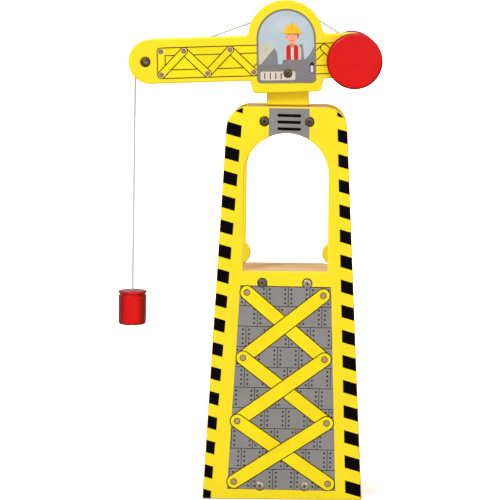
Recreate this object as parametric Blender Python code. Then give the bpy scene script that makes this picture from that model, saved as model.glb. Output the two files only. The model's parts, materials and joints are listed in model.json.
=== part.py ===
"""Toy tower crane of painted board: a tapered tower of two panels with an arch above a shelf, and on top of
it a jib that slews and rocks, with a winch, a rope over a guide roller and a magnetic hoist block.

Metres, +Z up. The origin is the middle of the footprint on the floor. The front faces -Y, and the jib
reaches to -X. Run it in Blender 4.5: blender --background --python part.py
"""

import math

import bmesh
import bpy

# Tower
TOWER_HEIGHT = 0.3535
TOWER_DEPTH = 0.084
TOWER_HALF_WIDTH_FLOOR = 0.0718
TOWER_HALF_WIDTH_TOP = 0.0538
TOWER_CORNER_RADIUS = 0.020
PANEL_THICKNESS = 0.009
PANEL_EDGE_CHAMFER = 0.0012
ARCH_HALF_WIDTH = 0.0382
ARCH_CENTRE_Z = 0.2914
SHELF_TOP_Z = 0.205
REAR_SILL_DROP = 0.003
SHELF_THICKNESS = 0.016
SHELF_HALF_WIDTH = 0.058
BASE_BLOCK_HEIGHT = 0.024
BASE_BLOCK_HALF_WIDTH = 0.066
TOP_BLOCK_HEIGHT = 0.0232
TOP_BLOCK_HALF_WIDTH = 0.038
BLOCK_CHAMFER = 0.0012
LUG_RADIUS = 0.0100
LUG_SINK = 0.0004
LUG_HOUSING_DEPTH = 0.001
LUG_HOUSING_HALF_WIDTH = 0.0078
LUG_THICKNESS = 0.012
LUG_OFFSET_X = 0.043

# Fasteners
SCREW_SPACING_HALF = 0.0202
SCREW_HEIGHTS = {"base": 0.012, "shelf": 0.1947, "top": 0.3403}
SCREW_HEAD_RADIUS = 0.004
SCREW_HEAD_HEIGHT = 0.003
SCREW_SHANK_RADIUS = 0.00175
SCREW_SINK = 0.0002
PANEL_SCREW_LENGTH = 0.025
JIB_SCREW_LENGTH = 0.0215
BOLT_RADIUS = 0.003
BOLT_HEAD_RADIUS = 0.006
BOLT_HEAD_HEIGHT = 0.004
BOLT_LENGTH = 0.0385
WASHER_RADIUS = 0.0068
WASHER_THICKNESS = 0.0014
COUNTERBORE_RADIUS = 0.0075
COUNTERBORE_DEPTH = 0.008
THRUST_WASHER_RADIUS = 0.013
THRUST_WASHER_THICKNESS = 0.0006

# Neck and jib. The jib's own frame has its origin at the pivot screws, x' along the arm and z' up.
NECK_WIDTH = 0.0385
NECK_TOP_ABOVE_PIVOT = 0.012
PIVOT_HEIGHT = 0.3834
JIB_REST_TILT_DEG = 2.5
JIB_ROCK_DEG = 4.0
PLATE_GAP = 0.036
PLATE_THICKNESS = 0.009
ARM_CENTRE_Z = 0.01445
ARM_HALF_HEIGHT = 0.02045
ARM_TIP_X = -0.1445
ARM_BACK_X = 0.0795
CAB_CENTRE_X = -0.0012
CAB_ARCH_RADIUS = 0.0344
CAB_ARCH_CENTRE_Z = 0.0326
CAB_FILLET = 0.004
CAB_SKIRT_HALF_WIDTH_TOP = 0.0335
CAB_SKIRT_HALF_WIDTH_BOTTOM = 0.0316
CAB_BOTTOM_Z = -0.0175
CAB_BOTTOM_CORNER = 0.0038
CAB_SPACER_HALF_WIDTH = 0.020
CAB_SPACER_HEIGHT = 0.014
ARM_SPACER_CENTRE_X = -0.068
ARM_SPACER_HALF_WIDTH = 0.0075
ARM_SPACER_LOW_Z = -0.0045
ARM_SPACER_HEIGHT = 0.014

# Winch, guide roller, tip and rope
ROPE_RADIUS = 0.00075
WINCH_X = 0.0600
WINCH_Z = 0.0102
DRUM_ROPE_RADIUS = 0.0133
DRUM_CORE_RADIUS = 0.0114
DRUM_HALF_LENGTH = 0.012
DRUM_FLANGE_RADIUS = 0.016
DRUM_FLANGE_THICKNESS = 0.002
WRAP_HALF_LENGTH = 0.008
AXLE_RADIUS = 0.005
KNOB_RADIUS = 0.0254
KNOB_THICKNESS = 0.012
KNOB_ROUNDING = 0.0022
KNOB_CLEARANCE = 0.001
KNOB_BORE_DEPTH = 0.0095
GUIDE_X = 0.0087
GUIDE_Z = 0.0544
GUIDE_ROPE_RADIUS = 0.006
GUIDE_FLANGE_RADIUS = 0.008
GUIDE_HALF_LENGTH = 0.004
GUIDE_PIN_RADIUS = 0.003
GUIDE_PIN_SOCKET_DEPTH = 0.004
TIP_SCREW_X = -0.1288
TIP_SCREW_Z = 0.0141
TIP_BLOCK_LEFT_X = -0.1389
TIP_BLOCK_RIGHT_X = -0.119
TIP_BLOCK_LOW_Z = 0.0035
TIP_BLOCK_HIGH_Z = 0.0245
TIP_BEND_X = -0.1377
TIP_BEND_Z = 0.0099
TIP_BEND_RADIUS = 0.0025
TIP_HOLE_RADIUS = 0.0018

# Hoist block
BLOCK_BOTTOM_Z = 0.1505
BLOCK_HEIGHT = 0.0309
BLOCK_RADIUS = 0.0129
BLOCK_TAPER = 0.0004
BLOCK_ROUNDING = 0.002
GROOVE_DEPTH = 0.0013
MAGNET_RADIUS = 0.008
MAGNET_THICKNESS = 0.0038
MAGNET_SINK = 0.0002
KNOT_RADIUS = 0.0031
KNOT_CHAMBER_RADIUS = 0.0045
KNOT_CHAMBER_HEIGHT = 0.0082
ROPE_BORE_RADIUS = 0.0014

# Fit and fineness
GAP = 0.0003
RUNNING_CLEARANCE = 0.00012
HOLE_SIDES = 12
SCREW_SIDES = 12
ROUND_SIDES = 32
SMALL_ROUND_SIDES = 20
ROPE_SIDES = 6
ROPE_ARC_STEPS = 7

# Derived
FRONT_Y = -TOWER_DEPTH / 2
INNER_Y = TOWER_DEPTH / 2 - PANEL_THICKNESS
BLOCK_HALF_DEPTH = INNER_Y - GAP
PLATE_INNER_Y = PLATE_GAP / 2
PLATE_OUTER_Y = PLATE_INNER_Y + PLATE_THICKNESS
BETWEEN_PLATES_HALF = PLATE_INNER_Y - GAP
TOP_BLOCK_TOP = TOWER_HEIGHT - GAP
TOP_BLOCK_BOTTOM = TOP_BLOCK_TOP - TOP_BLOCK_HEIGHT
NECK_BOTTOM = TOP_BLOCK_TOP + 2 * GAP + THRUST_WASHER_THICKNESS
NECK_TOP = PIVOT_HEIGHT + NECK_TOP_ABOVE_PIVOT
TILT = math.radians(JIB_REST_TILT_DEG)
HOLE_RADIUS = SCREW_SHANK_RADIUS + GAP


def srgb(red, green, blue):
    """A colour given as 0 to 255 display values, as the linear values that a shader takes."""
    linear = []
    for value in (red / 255, green / 255, blue / 255):
        linear.append(value / 12.92 if value <= 0.04045 else ((value + 0.055) / 1.055) ** 2.4)
    return (*linear, 1.0)


def principled(name, colour, roughness, metallic=0.0):
    material = bpy.data.materials.new(name)
    material.use_nodes = True
    shader = material.node_tree.nodes["Principled BSDF"]
    shader.inputs["Base Color"].default_value = colour
    shader.inputs["Roughness"].default_value = roughness
    shader.inputs["Metallic"].default_value = metallic
    material.diffuse_color = colour
    return material


def clear_scene():
    for obj in list(bpy.data.objects):
        bpy.data.objects.remove(obj, do_unlink=True)


def pivot(name, location, parent=None, turn_y=0.0):
    """An empty on a joint's axis, which the pieces that move about it are parented to."""
    empty = bpy.data.objects.new(name, None)
    bpy.context.collection.objects.link(empty)
    empty.location = location
    empty.rotation_euler = (0.0, turn_y, 0.0)
    empty.parent = parent
    return empty


def place(name, mesh, material, parent=None, location=(0.0, 0.0, 0.0), turn_z=0.0):
    """One named piece with its own material, placed in its parent's frame."""
    obj = bpy.data.objects.new(name, mesh)
    bpy.context.collection.objects.link(obj)
    obj.parent = parent
    obj.location = location
    obj.rotation_euler = (0.0, 0.0, turn_z)
    if material and not mesh.materials:
        mesh.materials.append(material)
    return obj


def finish_mesh(name, bm, smooth_below_deg=40.0):
    bmesh.ops.recalc_face_normals(bm, faces=bm.faces)
    mesh = bpy.data.meshes.new(name)
    bm.to_mesh(mesh)
    bm.free()
    mesh.shade_smooth()
    mesh.set_sharp_from_angle(angle=math.radians(smooth_below_deg))
    return mesh


def arc(centre_x, centre_z, radius, start_deg, end_deg, steps):
    """Points of an arc, both ends included, as (x, z) pairs."""
    points = []
    for i in range(steps + 1):
        angle = math.radians(start_deg + (end_deg - start_deg) * i / steps)
        points.append((centre_x + radius * math.cos(angle), centre_z + radius * math.sin(angle)))
    return points


def add_slab(bm, outline, low_y, high_y):
    """Adds a flat piece with this (x, z) outline between two depths."""
    front = [bm.verts.new((x, low_y, z)) for x, z in outline]
    face = bm.faces.new(front)
    grown = bmesh.ops.extrude_face_region(bm, geom=[face])
    moved = [item for item in grown["geom"] if isinstance(item, bmesh.types.BMVert)]
    bmesh.ops.translate(bm, verts=moved, vec=(0.0, high_y - low_y, 0.0))


def slab_mesh(name, outline, low_y, high_y):
    bm = bmesh.new()
    add_slab(bm, outline, low_y, high_y)
    return finish_mesh(name, bm)


def box_mesh(name, half_x, half_y, low_z, high_z, chamfer=BLOCK_CHAMFER):
    bm = bmesh.new()
    outline = [(-half_x, low_z), (half_x, low_z), (half_x, high_z), (-half_x, high_z)]
    add_slab(bm, outline, -half_y, half_y)
    bmesh.ops.bevel(bm, geom=bm.edges[:], offset=chamfer, segments=1, affect="EDGES")
    return finish_mesh(name, bm, smooth_below_deg=20.0)


def add_turned(bm, profile, axis="Y", sides=SMALL_ROUND_SIDES, at=(0.0, 0.0, 0.0), flip=False):
    """Adds a turned shape: profile holds (radius, place along the axis). A profile that starts and ends at
    radius 0 makes a solid, and any other one is closed into a ring round its bore."""
    rings = []
    for radius, along in profile:
        along = -along if flip else along
        count = 1 if radius == 0 else sides
        ring = []
        for i in range(count):
            angle = 2 * math.pi * i / sides
            across, up = radius * math.cos(angle), radius * math.sin(angle)
            local = (across, along, up) if axis == "Y" else (across, up, along)
            ring.append(bm.verts.new([a + b for a, b in zip(at, local)]))
        rings.append(ring)
    solid = profile[0][0] == 0 and profile[-1][0] == 0
    pairs = list(zip(rings, rings[1:])) if solid else list(zip(rings, rings[1:] + rings[:1]))
    for one, other in pairs:
        for i in range(sides):
            j = (i + 1) % sides
            corners = [one[i % len(one)], one[j % len(one)], other[j % len(other)], other[i % len(other)]]
            bm.faces.new(list(dict.fromkeys(corners)))


def turned_mesh(name, profile, axis="Y", sides=SMALL_ROUND_SIDES):
    bm = bmesh.new()
    add_turned(bm, profile, axis, sides)
    return finish_mesh(name, bm)


def bore_radius(shaft_radius, sides, clearance=RUNNING_CLEARANCE):
    """The corner radius of a many-sided bore whose flats clear a round shaft."""
    return (shaft_radius + clearance) / math.cos(math.pi / sides)


def cut(target, cutter_bm, name):
    """Cuts a target with one hidden cutter, which may hold several separate shapes."""
    cutter = place(name, finish_mesh(name, cutter_bm), None, target.parent, target.location)
    cutter.hide_render = True
    cutter.display_type = "WIRE"
    modifier = target.modifiers.new(name, "BOOLEAN")
    modifier.operation = "DIFFERENCE"
    modifier.solver = "EXACT"
    modifier.object = cutter


def chamfer_edges(obj, width=PANEL_EDGE_CHAMFER):
    modifier = obj.modifiers.new("edge_chamfer", "BEVEL")
    modifier.width = width
    modifier.segments = 1
    modifier.limit_method = "ANGLE"
    modifier.angle_limit = math.radians(50)


def tower_half_width(z):
    slope = (TOWER_HALF_WIDTH_FLOOR - TOWER_HALF_WIDTH_TOP) / TOWER_HEIGHT
    return TOWER_HALF_WIDTH_FLOOR - slope * z


def tower_outline():
    """A tapered panel whose two top corners are rounded, from the bottom left corner anticlockwise."""
    lean_deg = math.degrees(math.atan2(TOWER_HALF_WIDTH_FLOOR - TOWER_HALF_WIDTH_TOP, TOWER_HEIGHT))
    centre_z = TOWER_HEIGHT - TOWER_CORNER_RADIUS
    centre_x = tower_half_width(centre_z) - TOWER_CORNER_RADIUS / math.cos(math.radians(lean_deg))
    right = arc(centre_x, centre_z, TOWER_CORNER_RADIUS, lean_deg, 90, 7)
    left = [(-x, z) for x, z in reversed(right)]
    feet = [(-TOWER_HALF_WIDTH_FLOOR, 0.0), (TOWER_HALF_WIDTH_FLOOR, 0.0)]
    return feet + right + left


def arch_outline(sill_z):
    top = arc(0.0, ARCH_CENTRE_Z, ARCH_HALF_WIDTH, 0, 180, 20)
    return [(-ARCH_HALF_WIDTH, sill_z), (ARCH_HALF_WIDTH, sill_z)] + top


def countersunk_profile(through):
    """A countersunk hole, from just outside the face it is sunk in."""
    head = SCREW_HEAD_RADIUS + GAP
    slope = (SCREW_HEAD_RADIUS - SCREW_SHANK_RADIUS) / SCREW_HEAD_HEIGHT
    outside = 0.001
    depth = SCREW_SINK + SCREW_HEAD_HEIGHT + GAP
    return [
        (0.0, -outside),
        (head + slope * outside, -outside),
        (HOLE_RADIUS, depth),
        (HOLE_RADIUS, through),
        (0.0, through),
    ]


def screw_mesh(name, length):
    """A countersunk wood screw along +Y, with the top of its head at the origin."""
    point = 0.003
    profile = [
        (0.0, 0.0),
        (SCREW_HEAD_RADIUS, 0.0),
        (SCREW_SHANK_RADIUS, SCREW_HEAD_HEIGHT),
        (SCREW_SHANK_RADIUS, length - point),
        (0.0, length),
    ]
    return turned_mesh(name, profile, sides=SCREW_SIDES)


def screw_spots():
    """Name, x and z of each screw in one tower panel."""
    for row, height in SCREW_HEIGHTS.items():
        for side, sign in (("left", -1), ("right", 1)):
            yield f"{row}_{side}", sign * SCREW_SPACING_HALF, height


def tower_panel(name, sill_z, material, face_y, inward):
    """A tower panel: its outer face is at face_y, and inward is +1 for the front one, -1 for the rear one."""
    inner_y = face_y + inward * PANEL_THICKNESS
    outline = tower_outline()
    panel = place(name, slab_mesh(name, outline, min(face_y, inner_y), max(face_y, inner_y)), material)
    opening = bmesh.new()
    add_slab(opening, arch_outline(sill_z), -TOWER_DEPTH, TOWER_DEPTH)
    cut(panel, opening, f"{name}_arch_cutter")
    chamfer_edges(panel)
    holes = bmesh.new()
    profile = countersunk_profile(PANEL_THICKNESS + 0.001)
    for _, x, z in screw_spots():
        add_turned(holes, profile, sides=HOLE_SIDES, at=(x, face_y, z), flip=inward < 0)
    cut(panel, holes, f"{name}_screw_cutter")
    return panel


def cross_member(name, half_width, low_z, high_z, row, material):
    """A wooden block between the panels, with blind pilot holes for the four screws of its row."""
    member = place(name, box_mesh(name, half_width, BLOCK_HALF_DEPTH, low_z, high_z), material)
    holes = bmesh.new()
    depth = PANEL_SCREW_LENGTH - PANEL_THICKNESS + GAP
    profile = [(0.0, -0.001), (HOLE_RADIUS, -0.001), (HOLE_RADIUS, depth), (0.0, depth)]
    for sign in (-1, 1):
        for flip in (False, True):
            face_y = INNER_Y if flip else -INNER_Y
            spot = (sign * SCREW_SPACING_HALF, face_y, SCREW_HEIGHTS[row])
            add_turned(holes, profile, sides=HOLE_SIDES, at=spot, flip=flip)
    if row == "top":
        add_bolt_hole(holes)
    if row == "shelf":
        add_lug_housings(holes)
    cut(member, holes, f"{name}_hole_cutter")
    return member


def add_bolt_hole(bm):
    """The slewing bolt's hole through the top block, with a counterbore from below for its head."""
    clear = BOLT_RADIUS + GAP
    step = TOP_BLOCK_BOTTOM + COUNTERBORE_DEPTH
    low = TOP_BLOCK_BOTTOM - 0.001
    high = TOP_BLOCK_TOP + 0.001
    profile = [(0.0, low), (COUNTERBORE_RADIUS, low), (COUNTERBORE_RADIUS, step), (clear, step)]
    add_turned(bm, profile + [(clear, high), (0.0, high)], axis="Z", sides=SMALL_ROUND_SIDES)


def add_lug_housings(bm):
    """A shallow housing in the shelf's top under each lug, so that the rest of the top is clear of them."""
    low, high = SHELF_TOP_Z - LUG_HOUSING_DEPTH, SHELF_TOP_Z + 0.001
    for sign in (-1, 1):
        left = sign * LUG_OFFSET_X - LUG_HOUSING_HALF_WIDTH
        right = sign * LUG_OFFSET_X + LUG_HOUSING_HALF_WIDTH
        outline = [(left, low), (right, low), (right, high), (left, high)]
        add_slab(bm, outline, INNER_Y - LUG_THICKNESS - 2 * GAP, INNER_Y)


def tower(paint, board, bronze, steel):
    tower_panel("front_panel", SHELF_TOP_Z, paint("front_panel"), FRONT_Y, 1)
    tower_panel("rear_panel", SHELF_TOP_Z - REAR_SILL_DROP, paint("rear_panel"), -FRONT_Y, -1)
    cross_member("base_block", BASE_BLOCK_HALF_WIDTH, 0.0, BASE_BLOCK_HEIGHT, "base", board("base_block"))
    low = SHELF_TOP_Z - SHELF_THICKNESS
    cross_member("shelf_board", SHELF_HALF_WIDTH, low, SHELF_TOP_Z, "shelf", board("shelf_board"))
    spread = TOP_BLOCK_HALF_WIDTH
    cross_member("top_block", spread, TOP_BLOCK_BOTTOM, TOP_BLOCK_TOP, "top", board("top_block"))
    shelf_lugs(paint)
    mesh = screw_mesh("panel_screw", PANEL_SCREW_LENGTH)
    for spot, x, z in screw_spots():
        material = steel if z < SHELF_TOP_Z else bronze
        front = (x, FRONT_Y + SCREW_SINK, z)
        rear = (x, -FRONT_Y - SCREW_SINK, z)
        place(f"panel_screw_front_{spot}", mesh, material, location=front)
        place(f"panel_screw_rear_{spot}", mesh, material, location=rear, turn_z=math.pi)


def shelf_lugs(paint):
    """Two round lugs on the rear panel's inner face, which stand in the housings of the shelf."""
    chamfer = PANEL_EDGE_CHAMFER
    half = LUG_THICKNESS / 2
    profile = [(0.0, -half), (LUG_RADIUS - chamfer, -half), (LUG_RADIUS, chamfer - half)]
    profile += [(LUG_RADIUS, half - chamfer), (LUG_RADIUS - chamfer, half), (0.0, half)]
    for side, sign in (("left", -1), ("right", 1)):
        name = f"shelf_lug_{side}"
        height = SHELF_TOP_Z - LUG_SINK + LUG_RADIUS
        spot = (sign * LUG_OFFSET_X, INNER_Y - GAP - half, height)
        place(name, turned_mesh(name, profile, sides=28), paint(name), location=spot)


def slewing_neck(paint, bronze, steel, axis):
    """The neck and what turns with it: the bolt and washers that hold it, and the jib's two pivot screws."""
    base = axis.location.z
    half = NECK_WIDTH / 2
    mesh = box_mesh("neck_block", half, BETWEEN_PLATES_HALF, NECK_BOTTOM - base, NECK_TOP - base)
    neck = place("neck_block", mesh, paint("neck_block"), axis)
    head_top = TOP_BLOCK_BOTTOM + COUNTERBORE_DEPTH - 2 * GAP - WASHER_THICKNESS - base
    bolt_top = head_top + BOLT_LENGTH
    holes = bmesh.new()
    clear = BOLT_RADIUS + GAP
    low = NECK_BOTTOM - base - 0.001
    high = bolt_top + GAP
    add_turned(holes, [(0.0, low), (clear, low), (clear, high), (0.0, high)], axis="Z")
    add_jib_pilot_holes(holes, 0.0, PIVOT_HEIGHT - base)
    cut(neck, holes, "neck_block_hole_cutter")
    slewing_fasteners(steel, axis, head_top, bolt_top)
    screws = screw_mesh("jib_screw", JIB_SCREW_LENGTH)
    height = PIVOT_HEIGHT - base
    outer = PLATE_OUTER_Y - SCREW_SINK
    place("pivot_screw_front", screws, bronze, axis, (0.0, -outer, height))
    place("pivot_screw_rear", screws, bronze, axis, (0.0, outer, height), math.pi)
    return screws


def add_jib_pilot_holes(bm, x, z):
    """Two blind holes, one from each side, for a pair of screws through the jib's plates."""
    depth = JIB_SCREW_LENGTH - PLATE_THICKNESS + GAP
    profile = [(0.0, -0.001), (HOLE_RADIUS, -0.001), (HOLE_RADIUS, depth), (0.0, depth)]
    add_turned(bm, profile, sides=HOLE_SIDES, at=(x, -PLATE_INNER_Y, z))
    add_turned(bm, profile, sides=HOLE_SIDES, at=(x, PLATE_INNER_Y, z), flip=True)


def slewing_fasteners(steel, axis, head_top, bolt_top):
    base = axis.location.z
    chamfer = 0.0005
    profile = [
        (0.0, head_top - BOLT_HEAD_HEIGHT),
        (BOLT_HEAD_RADIUS - chamfer, head_top - BOLT_HEAD_HEIGHT),
        (BOLT_HEAD_RADIUS, head_top - BOLT_HEAD_HEIGHT + chamfer),
        (BOLT_HEAD_RADIUS, head_top),
        (BOLT_RADIUS, head_top),
        (BOLT_RADIUS, bolt_top - chamfer),
        (BOLT_RADIUS - chamfer, bolt_top),
        (0.0, bolt_top),
    ]
    place("slewing_bolt", turned_mesh("slewing_bolt", profile, axis="Z"), steel, axis)
    low = head_top + GAP
    ring = washer_mesh("slewing_bolt_washer", WASHER_RADIUS, low, low + WASHER_THICKNESS)
    place("slewing_bolt_washer", ring, steel, axis)
    low = TOP_BLOCK_TOP + GAP - base
    ring = washer_mesh("thrust_washer", THRUST_WASHER_RADIUS, low, low + THRUST_WASHER_THICKNESS)
    place("thrust_washer", ring, principled("thrust_washer", srgb(60, 60, 62), 0.7), axis)


def washer_mesh(name, radius, low, high):
    bore = BOLT_RADIUS + GAP
    profile = [(bore, low), (radius, low), (radius, high), (bore, high)]
    return turned_mesh(name, profile, axis="Z")


def jib_plate_outline():
    """An arm with a round tip at each end, and a cab in its middle with a round roof and a tapered skirt."""
    arm_top = ARM_CENTRE_Z + ARM_HALF_HEIGHT
    arm_bottom = ARM_CENTRE_Z - ARM_HALF_HEIGHT
    tip_x = ARM_TIP_X + ARM_HALF_HEIGHT
    back_x = ARM_BACK_X - ARM_HALF_HEIGHT
    tip = arc(tip_x, ARM_CENTRE_Z, ARM_HALF_HEIGHT, 90, 270, 16)
    back = arc(back_x, ARM_CENTRE_Z, ARM_HALF_HEIGHT, -90, 90, 12)
    foot_x = CAB_SKIRT_HALF_WIDTH_BOTTOM - CAB_BOTTOM_CORNER
    foot_z = CAB_BOTTOM_Z + CAB_BOTTOM_CORNER
    foot = arc(foot_x, foot_z, CAB_BOTTOM_CORNER, -90, -20, 3)
    skirt = foot + [(CAB_SKIRT_HALF_WIDTH_TOP, arm_bottom)]
    roof = cab_roof_points(arm_top)
    left_skirt = [(-x, z) for x, z in reversed(skirt)]
    cab_below = [(CAB_CENTRE_X + x, z) for x, z in left_skirt + skirt]
    cab_above = [(CAB_CENTRE_X + x, z) for x, z in roof]
    return tip + cab_below + back + cab_above


def cab_roof_points(arm_top):
    """The cab's roof about x = 0, from right to left, with a small fillet where it meets each arm."""
    fillet_z = arm_top + CAB_FILLET
    reach = CAB_ARCH_RADIUS + CAB_FILLET
    fillet_x = math.sqrt(reach**2 - (fillet_z - CAB_ARCH_CENTRE_Z) ** 2)
    touch_deg = math.degrees(math.atan2(fillet_z - CAB_ARCH_CENTRE_Z, fillet_x))
    fillet = arc(fillet_x, fillet_z, CAB_FILLET, 270, 180 + touch_deg, 3)
    left = [(-x, z) for x, z in reversed(fillet)]
    roof = arc(0.0, CAB_ARCH_CENTRE_Z, CAB_ARCH_RADIUS, touch_deg, 180 - touch_deg, 22)
    return fillet + roof[1:-1] + left


def jib_plate(name, material, axis, side):
    """One plate of the jib: side is -1 for the front one and +1 for the rear one."""
    inner, outer = side * PLATE_INNER_Y, side * PLATE_OUTER_Y
    mesh = slab_mesh(name, jib_plate_outline(), min(inner, outer), max(inner, outer))
    plate = place(name, mesh, material, axis)
    chamfer_edges(plate)
    holes = bmesh.new()
    profile = countersunk_profile(PLATE_THICKNESS + 0.001)
    for x, z in ((0.0, 0.0), (TIP_SCREW_X, TIP_SCREW_Z)):
        add_turned(holes, profile, sides=HOLE_SIDES, at=(x, outer, z), flip=side > 0)
    axle = bore_radius(AXLE_RADIUS, SMALL_ROUND_SIDES, GAP)
    low, high = -0.001, PLATE_THICKNESS + 0.001
    through = [(0.0, low), (axle, low), (axle, high), (0.0, high)]
    add_turned(holes, through, at=(WINCH_X, inner, WINCH_Z), flip=side < 0)
    pin = bore_radius(GUIDE_PIN_RADIUS, HOLE_SIDES)
    socket = [(0.0, low), (pin, low), (pin, GUIDE_PIN_SOCKET_DEPTH), (0.0, GUIDE_PIN_SOCKET_DEPTH)]
    add_turned(holes, socket, sides=HOLE_SIDES, at=(GUIDE_X, inner, GUIDE_Z), flip=side < 0)
    cut(plate, holes, f"{name}_hole_cutter")


def jib_spacers(board, axis):
    """Blocks glued between the plates. The cab's one stands over the neck, whose corners stop the rocking."""
    rock = math.radians(JIB_ROCK_DEG)
    low = NECK_TOP_ABOVE_PIVOT * math.cos(rock) + NECK_WIDTH / 2 * math.sin(rock) + GAP / 2
    high = low + CAB_SPACER_HEIGHT
    mesh = box_mesh("cab_spacer", CAB_SPACER_HALF_WIDTH, BETWEEN_PLATES_HALF, low, high)
    place("cab_spacer", mesh, board("cab_spacer"), axis)
    low = ARM_SPACER_LOW_Z
    mesh = box_mesh("arm_spacer", ARM_SPACER_HALF_WIDTH, BETWEEN_PLATES_HALF, low, low + ARM_SPACER_HEIGHT)
    place("arm_spacer", mesh, board("arm_spacer"), axis, (ARM_SPACER_CENTRE_X, 0.0, 0.0))


def plain_shaft_profile(radius, half_length, chamfer=0.0005):
    side = [(radius - chamfer, -half_length), (radius, chamfer - half_length)]
    far = [(radius, half_length - chamfer), (radius - chamfer, half_length)]
    return [(0.0, -half_length)] + side + far + [(0.0, half_length)]


def grooved_roller_profile(bore, rope_radius, flange_radius, half_length):
    """A roller with a V groove whose bottom lies just under the rope."""
    floor = rope_radius - ROPE_RADIUS - GAP / 2
    floor_half = ROPE_RADIUS + GAP
    rim = 0.0012
    return [
        (bore, -half_length),
        (flange_radius, -half_length),
        (flange_radius, rim - half_length),
        (floor, -floor_half),
        (floor, floor_half),
        (flange_radius, half_length - rim),
        (flange_radius, half_length),
        (bore, half_length),
    ]


def jib(paint, board, bronze, screws, axis):
    jib_plate("jib_front_plate", paint("jib_front_plate"), axis, -1)
    jib_plate("jib_rear_plate", paint("jib_rear_plate"), axis, 1)
    jib_spacers(board, axis)
    outer = PLATE_OUTER_Y - SCREW_SINK
    place("tip_screw_front", screws, bronze, axis, (TIP_SCREW_X, -outer, TIP_SCREW_Z))
    place("tip_screw_rear", screws, bronze, axis, (TIP_SCREW_X, outer, TIP_SCREW_Z), math.pi)
    tip_block(board, axis)
    half = PLATE_INNER_Y + GUIDE_PIN_SOCKET_DEPTH - GAP
    mesh = turned_mesh("guide_pin", plain_shaft_profile(GUIDE_PIN_RADIUS, half), sides=HOLE_SIDES)
    place("guide_pin", mesh, board("guide_pin"), axis, (GUIDE_X, 0.0, GUIDE_Z))


def tip_block(board, axis):
    """The block between the plates at the arm's tip, which the rope runs through before it hangs down."""
    centre_x = (TIP_BLOCK_LEFT_X + TIP_BLOCK_RIGHT_X) / 2
    half_x = (TIP_BLOCK_RIGHT_X - TIP_BLOCK_LEFT_X) / 2
    mesh = box_mesh("tip_block", half_x, BETWEEN_PLATES_HALF, TIP_BLOCK_LOW_Z, TIP_BLOCK_HIGH_Z)
    block = place("tip_block", mesh, board("tip_block"), axis, (centre_x, 0.0, 0.0))
    holes = bmesh.new()
    add_jib_pilot_holes(holes, TIP_SCREW_X - centre_x, TIP_SCREW_Z)
    angle = math.radians(tip_bend_start_deg())
    touch_x = TIP_BEND_X + TIP_BEND_RADIUS * math.cos(angle) - centre_x
    touch_z = TIP_BEND_Z + TIP_BEND_RADIUS * math.sin(angle)
    reach = 3 * half_x
    ends = []
    for sign in (-1, 1):
        ends.append((touch_x + sign * reach * math.sin(angle), touch_z - sign * reach * math.cos(angle)))
    add_tube(holes, ends, TIP_HOLE_RADIUS, HOLE_SIDES)
    cut(block, holes, "tip_block_hole_cutter")


def winch(red, board, rope, axis):
    half = PLATE_OUTER_Y + KNOB_CLEARANCE + KNOB_BORE_DEPTH - GAP
    mesh = turned_mesh("winch_axle", plain_shaft_profile(AXLE_RADIUS, half))
    place("winch_axle", mesh, board("winch_axle"), axis)
    bore = bore_radius(AXLE_RADIUS, SMALL_ROUND_SIDES)
    flange = DRUM_HALF_LENGTH + DRUM_FLANGE_THICKNESS
    half_profile = [
        (DRUM_CORE_RADIUS, DRUM_HALF_LENGTH),
        (DRUM_FLANGE_RADIUS, DRUM_HALF_LENGTH),
        (DRUM_FLANGE_RADIUS, flange),
        (bore, flange),
    ]
    profile = [(radius, -along) for radius, along in reversed(half_profile)] + half_profile
    place("rope_drum", turned_mesh("rope_drum", profile), board("rope_drum"), axis)
    low, high = DRUM_CORE_RADIUS + GAP, DRUM_ROPE_RADIUS - ROPE_RADIUS - GAP / 2
    half = WRAP_HALF_LENGTH
    profile = [(low, -half), (high, -half), (high, half), (low, half)]
    place("rope_wrap", turned_mesh("rope_wrap", profile), rope("rope_wrap"), axis)
    mesh = turned_mesh("winch_knob", knob_profile(bore), sides=ROUND_SIDES + 8)
    front = PLATE_OUTER_Y + KNOB_CLEARANCE
    place("winch_knob_front", mesh, red("winch_knobs"), axis, (0.0, -front, 0.0), math.pi)
    place("winch_knob_rear", mesh, None, axis, (0.0, front, 0.0))


def knob_profile(bore):
    """A thick disc with rounded rims and a blind bore for the axle, from its inner face outwards along +Y."""
    profile = [(0.0, KNOB_BORE_DEPTH), (bore, KNOB_BORE_DEPTH), (bore, 0.0)]
    inset = KNOB_RADIUS - KNOB_ROUNDING
    profile += arc(inset, KNOB_ROUNDING, KNOB_ROUNDING, -90, 0, 3)
    profile += arc(inset, KNOB_THICKNESS - KNOB_ROUNDING, KNOB_ROUNDING, 0, 90, 3)
    return profile + [(0.0, KNOB_THICKNESS)]


def guide_roller(board, axis):
    bore = bore_radius(GUIDE_PIN_RADIUS, SMALL_ROUND_SIDES)
    profile = grooved_roller_profile(bore, GUIDE_ROPE_RADIUS, GUIDE_FLANGE_RADIUS, GUIDE_HALF_LENGTH)
    place("guide_roller", turned_mesh("guide_roller", profile), board("guide_roller"), axis)


def over_tangent(from_x, from_z, from_radius, to_x, to_z, to_radius):
    """The angle, in degrees, of the touching points of a rope that runs over the tops of two rollers."""
    run_x, run_z = to_x - from_x, to_z - from_z
    length = math.hypot(run_x, run_z)
    along = math.degrees(math.atan2(run_z, run_x))
    return (along - math.degrees(math.acos((from_radius - to_radius) / length))) % 360


def tip_bend_start_deg():
    """Where the rope's bend at the tip starts, as an angle round the bend's centre."""
    return over_tangent(GUIDE_X, GUIDE_Z, GUIDE_ROPE_RADIUS, TIP_BEND_X, TIP_BEND_Z, TIP_BEND_RADIUS)


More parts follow.
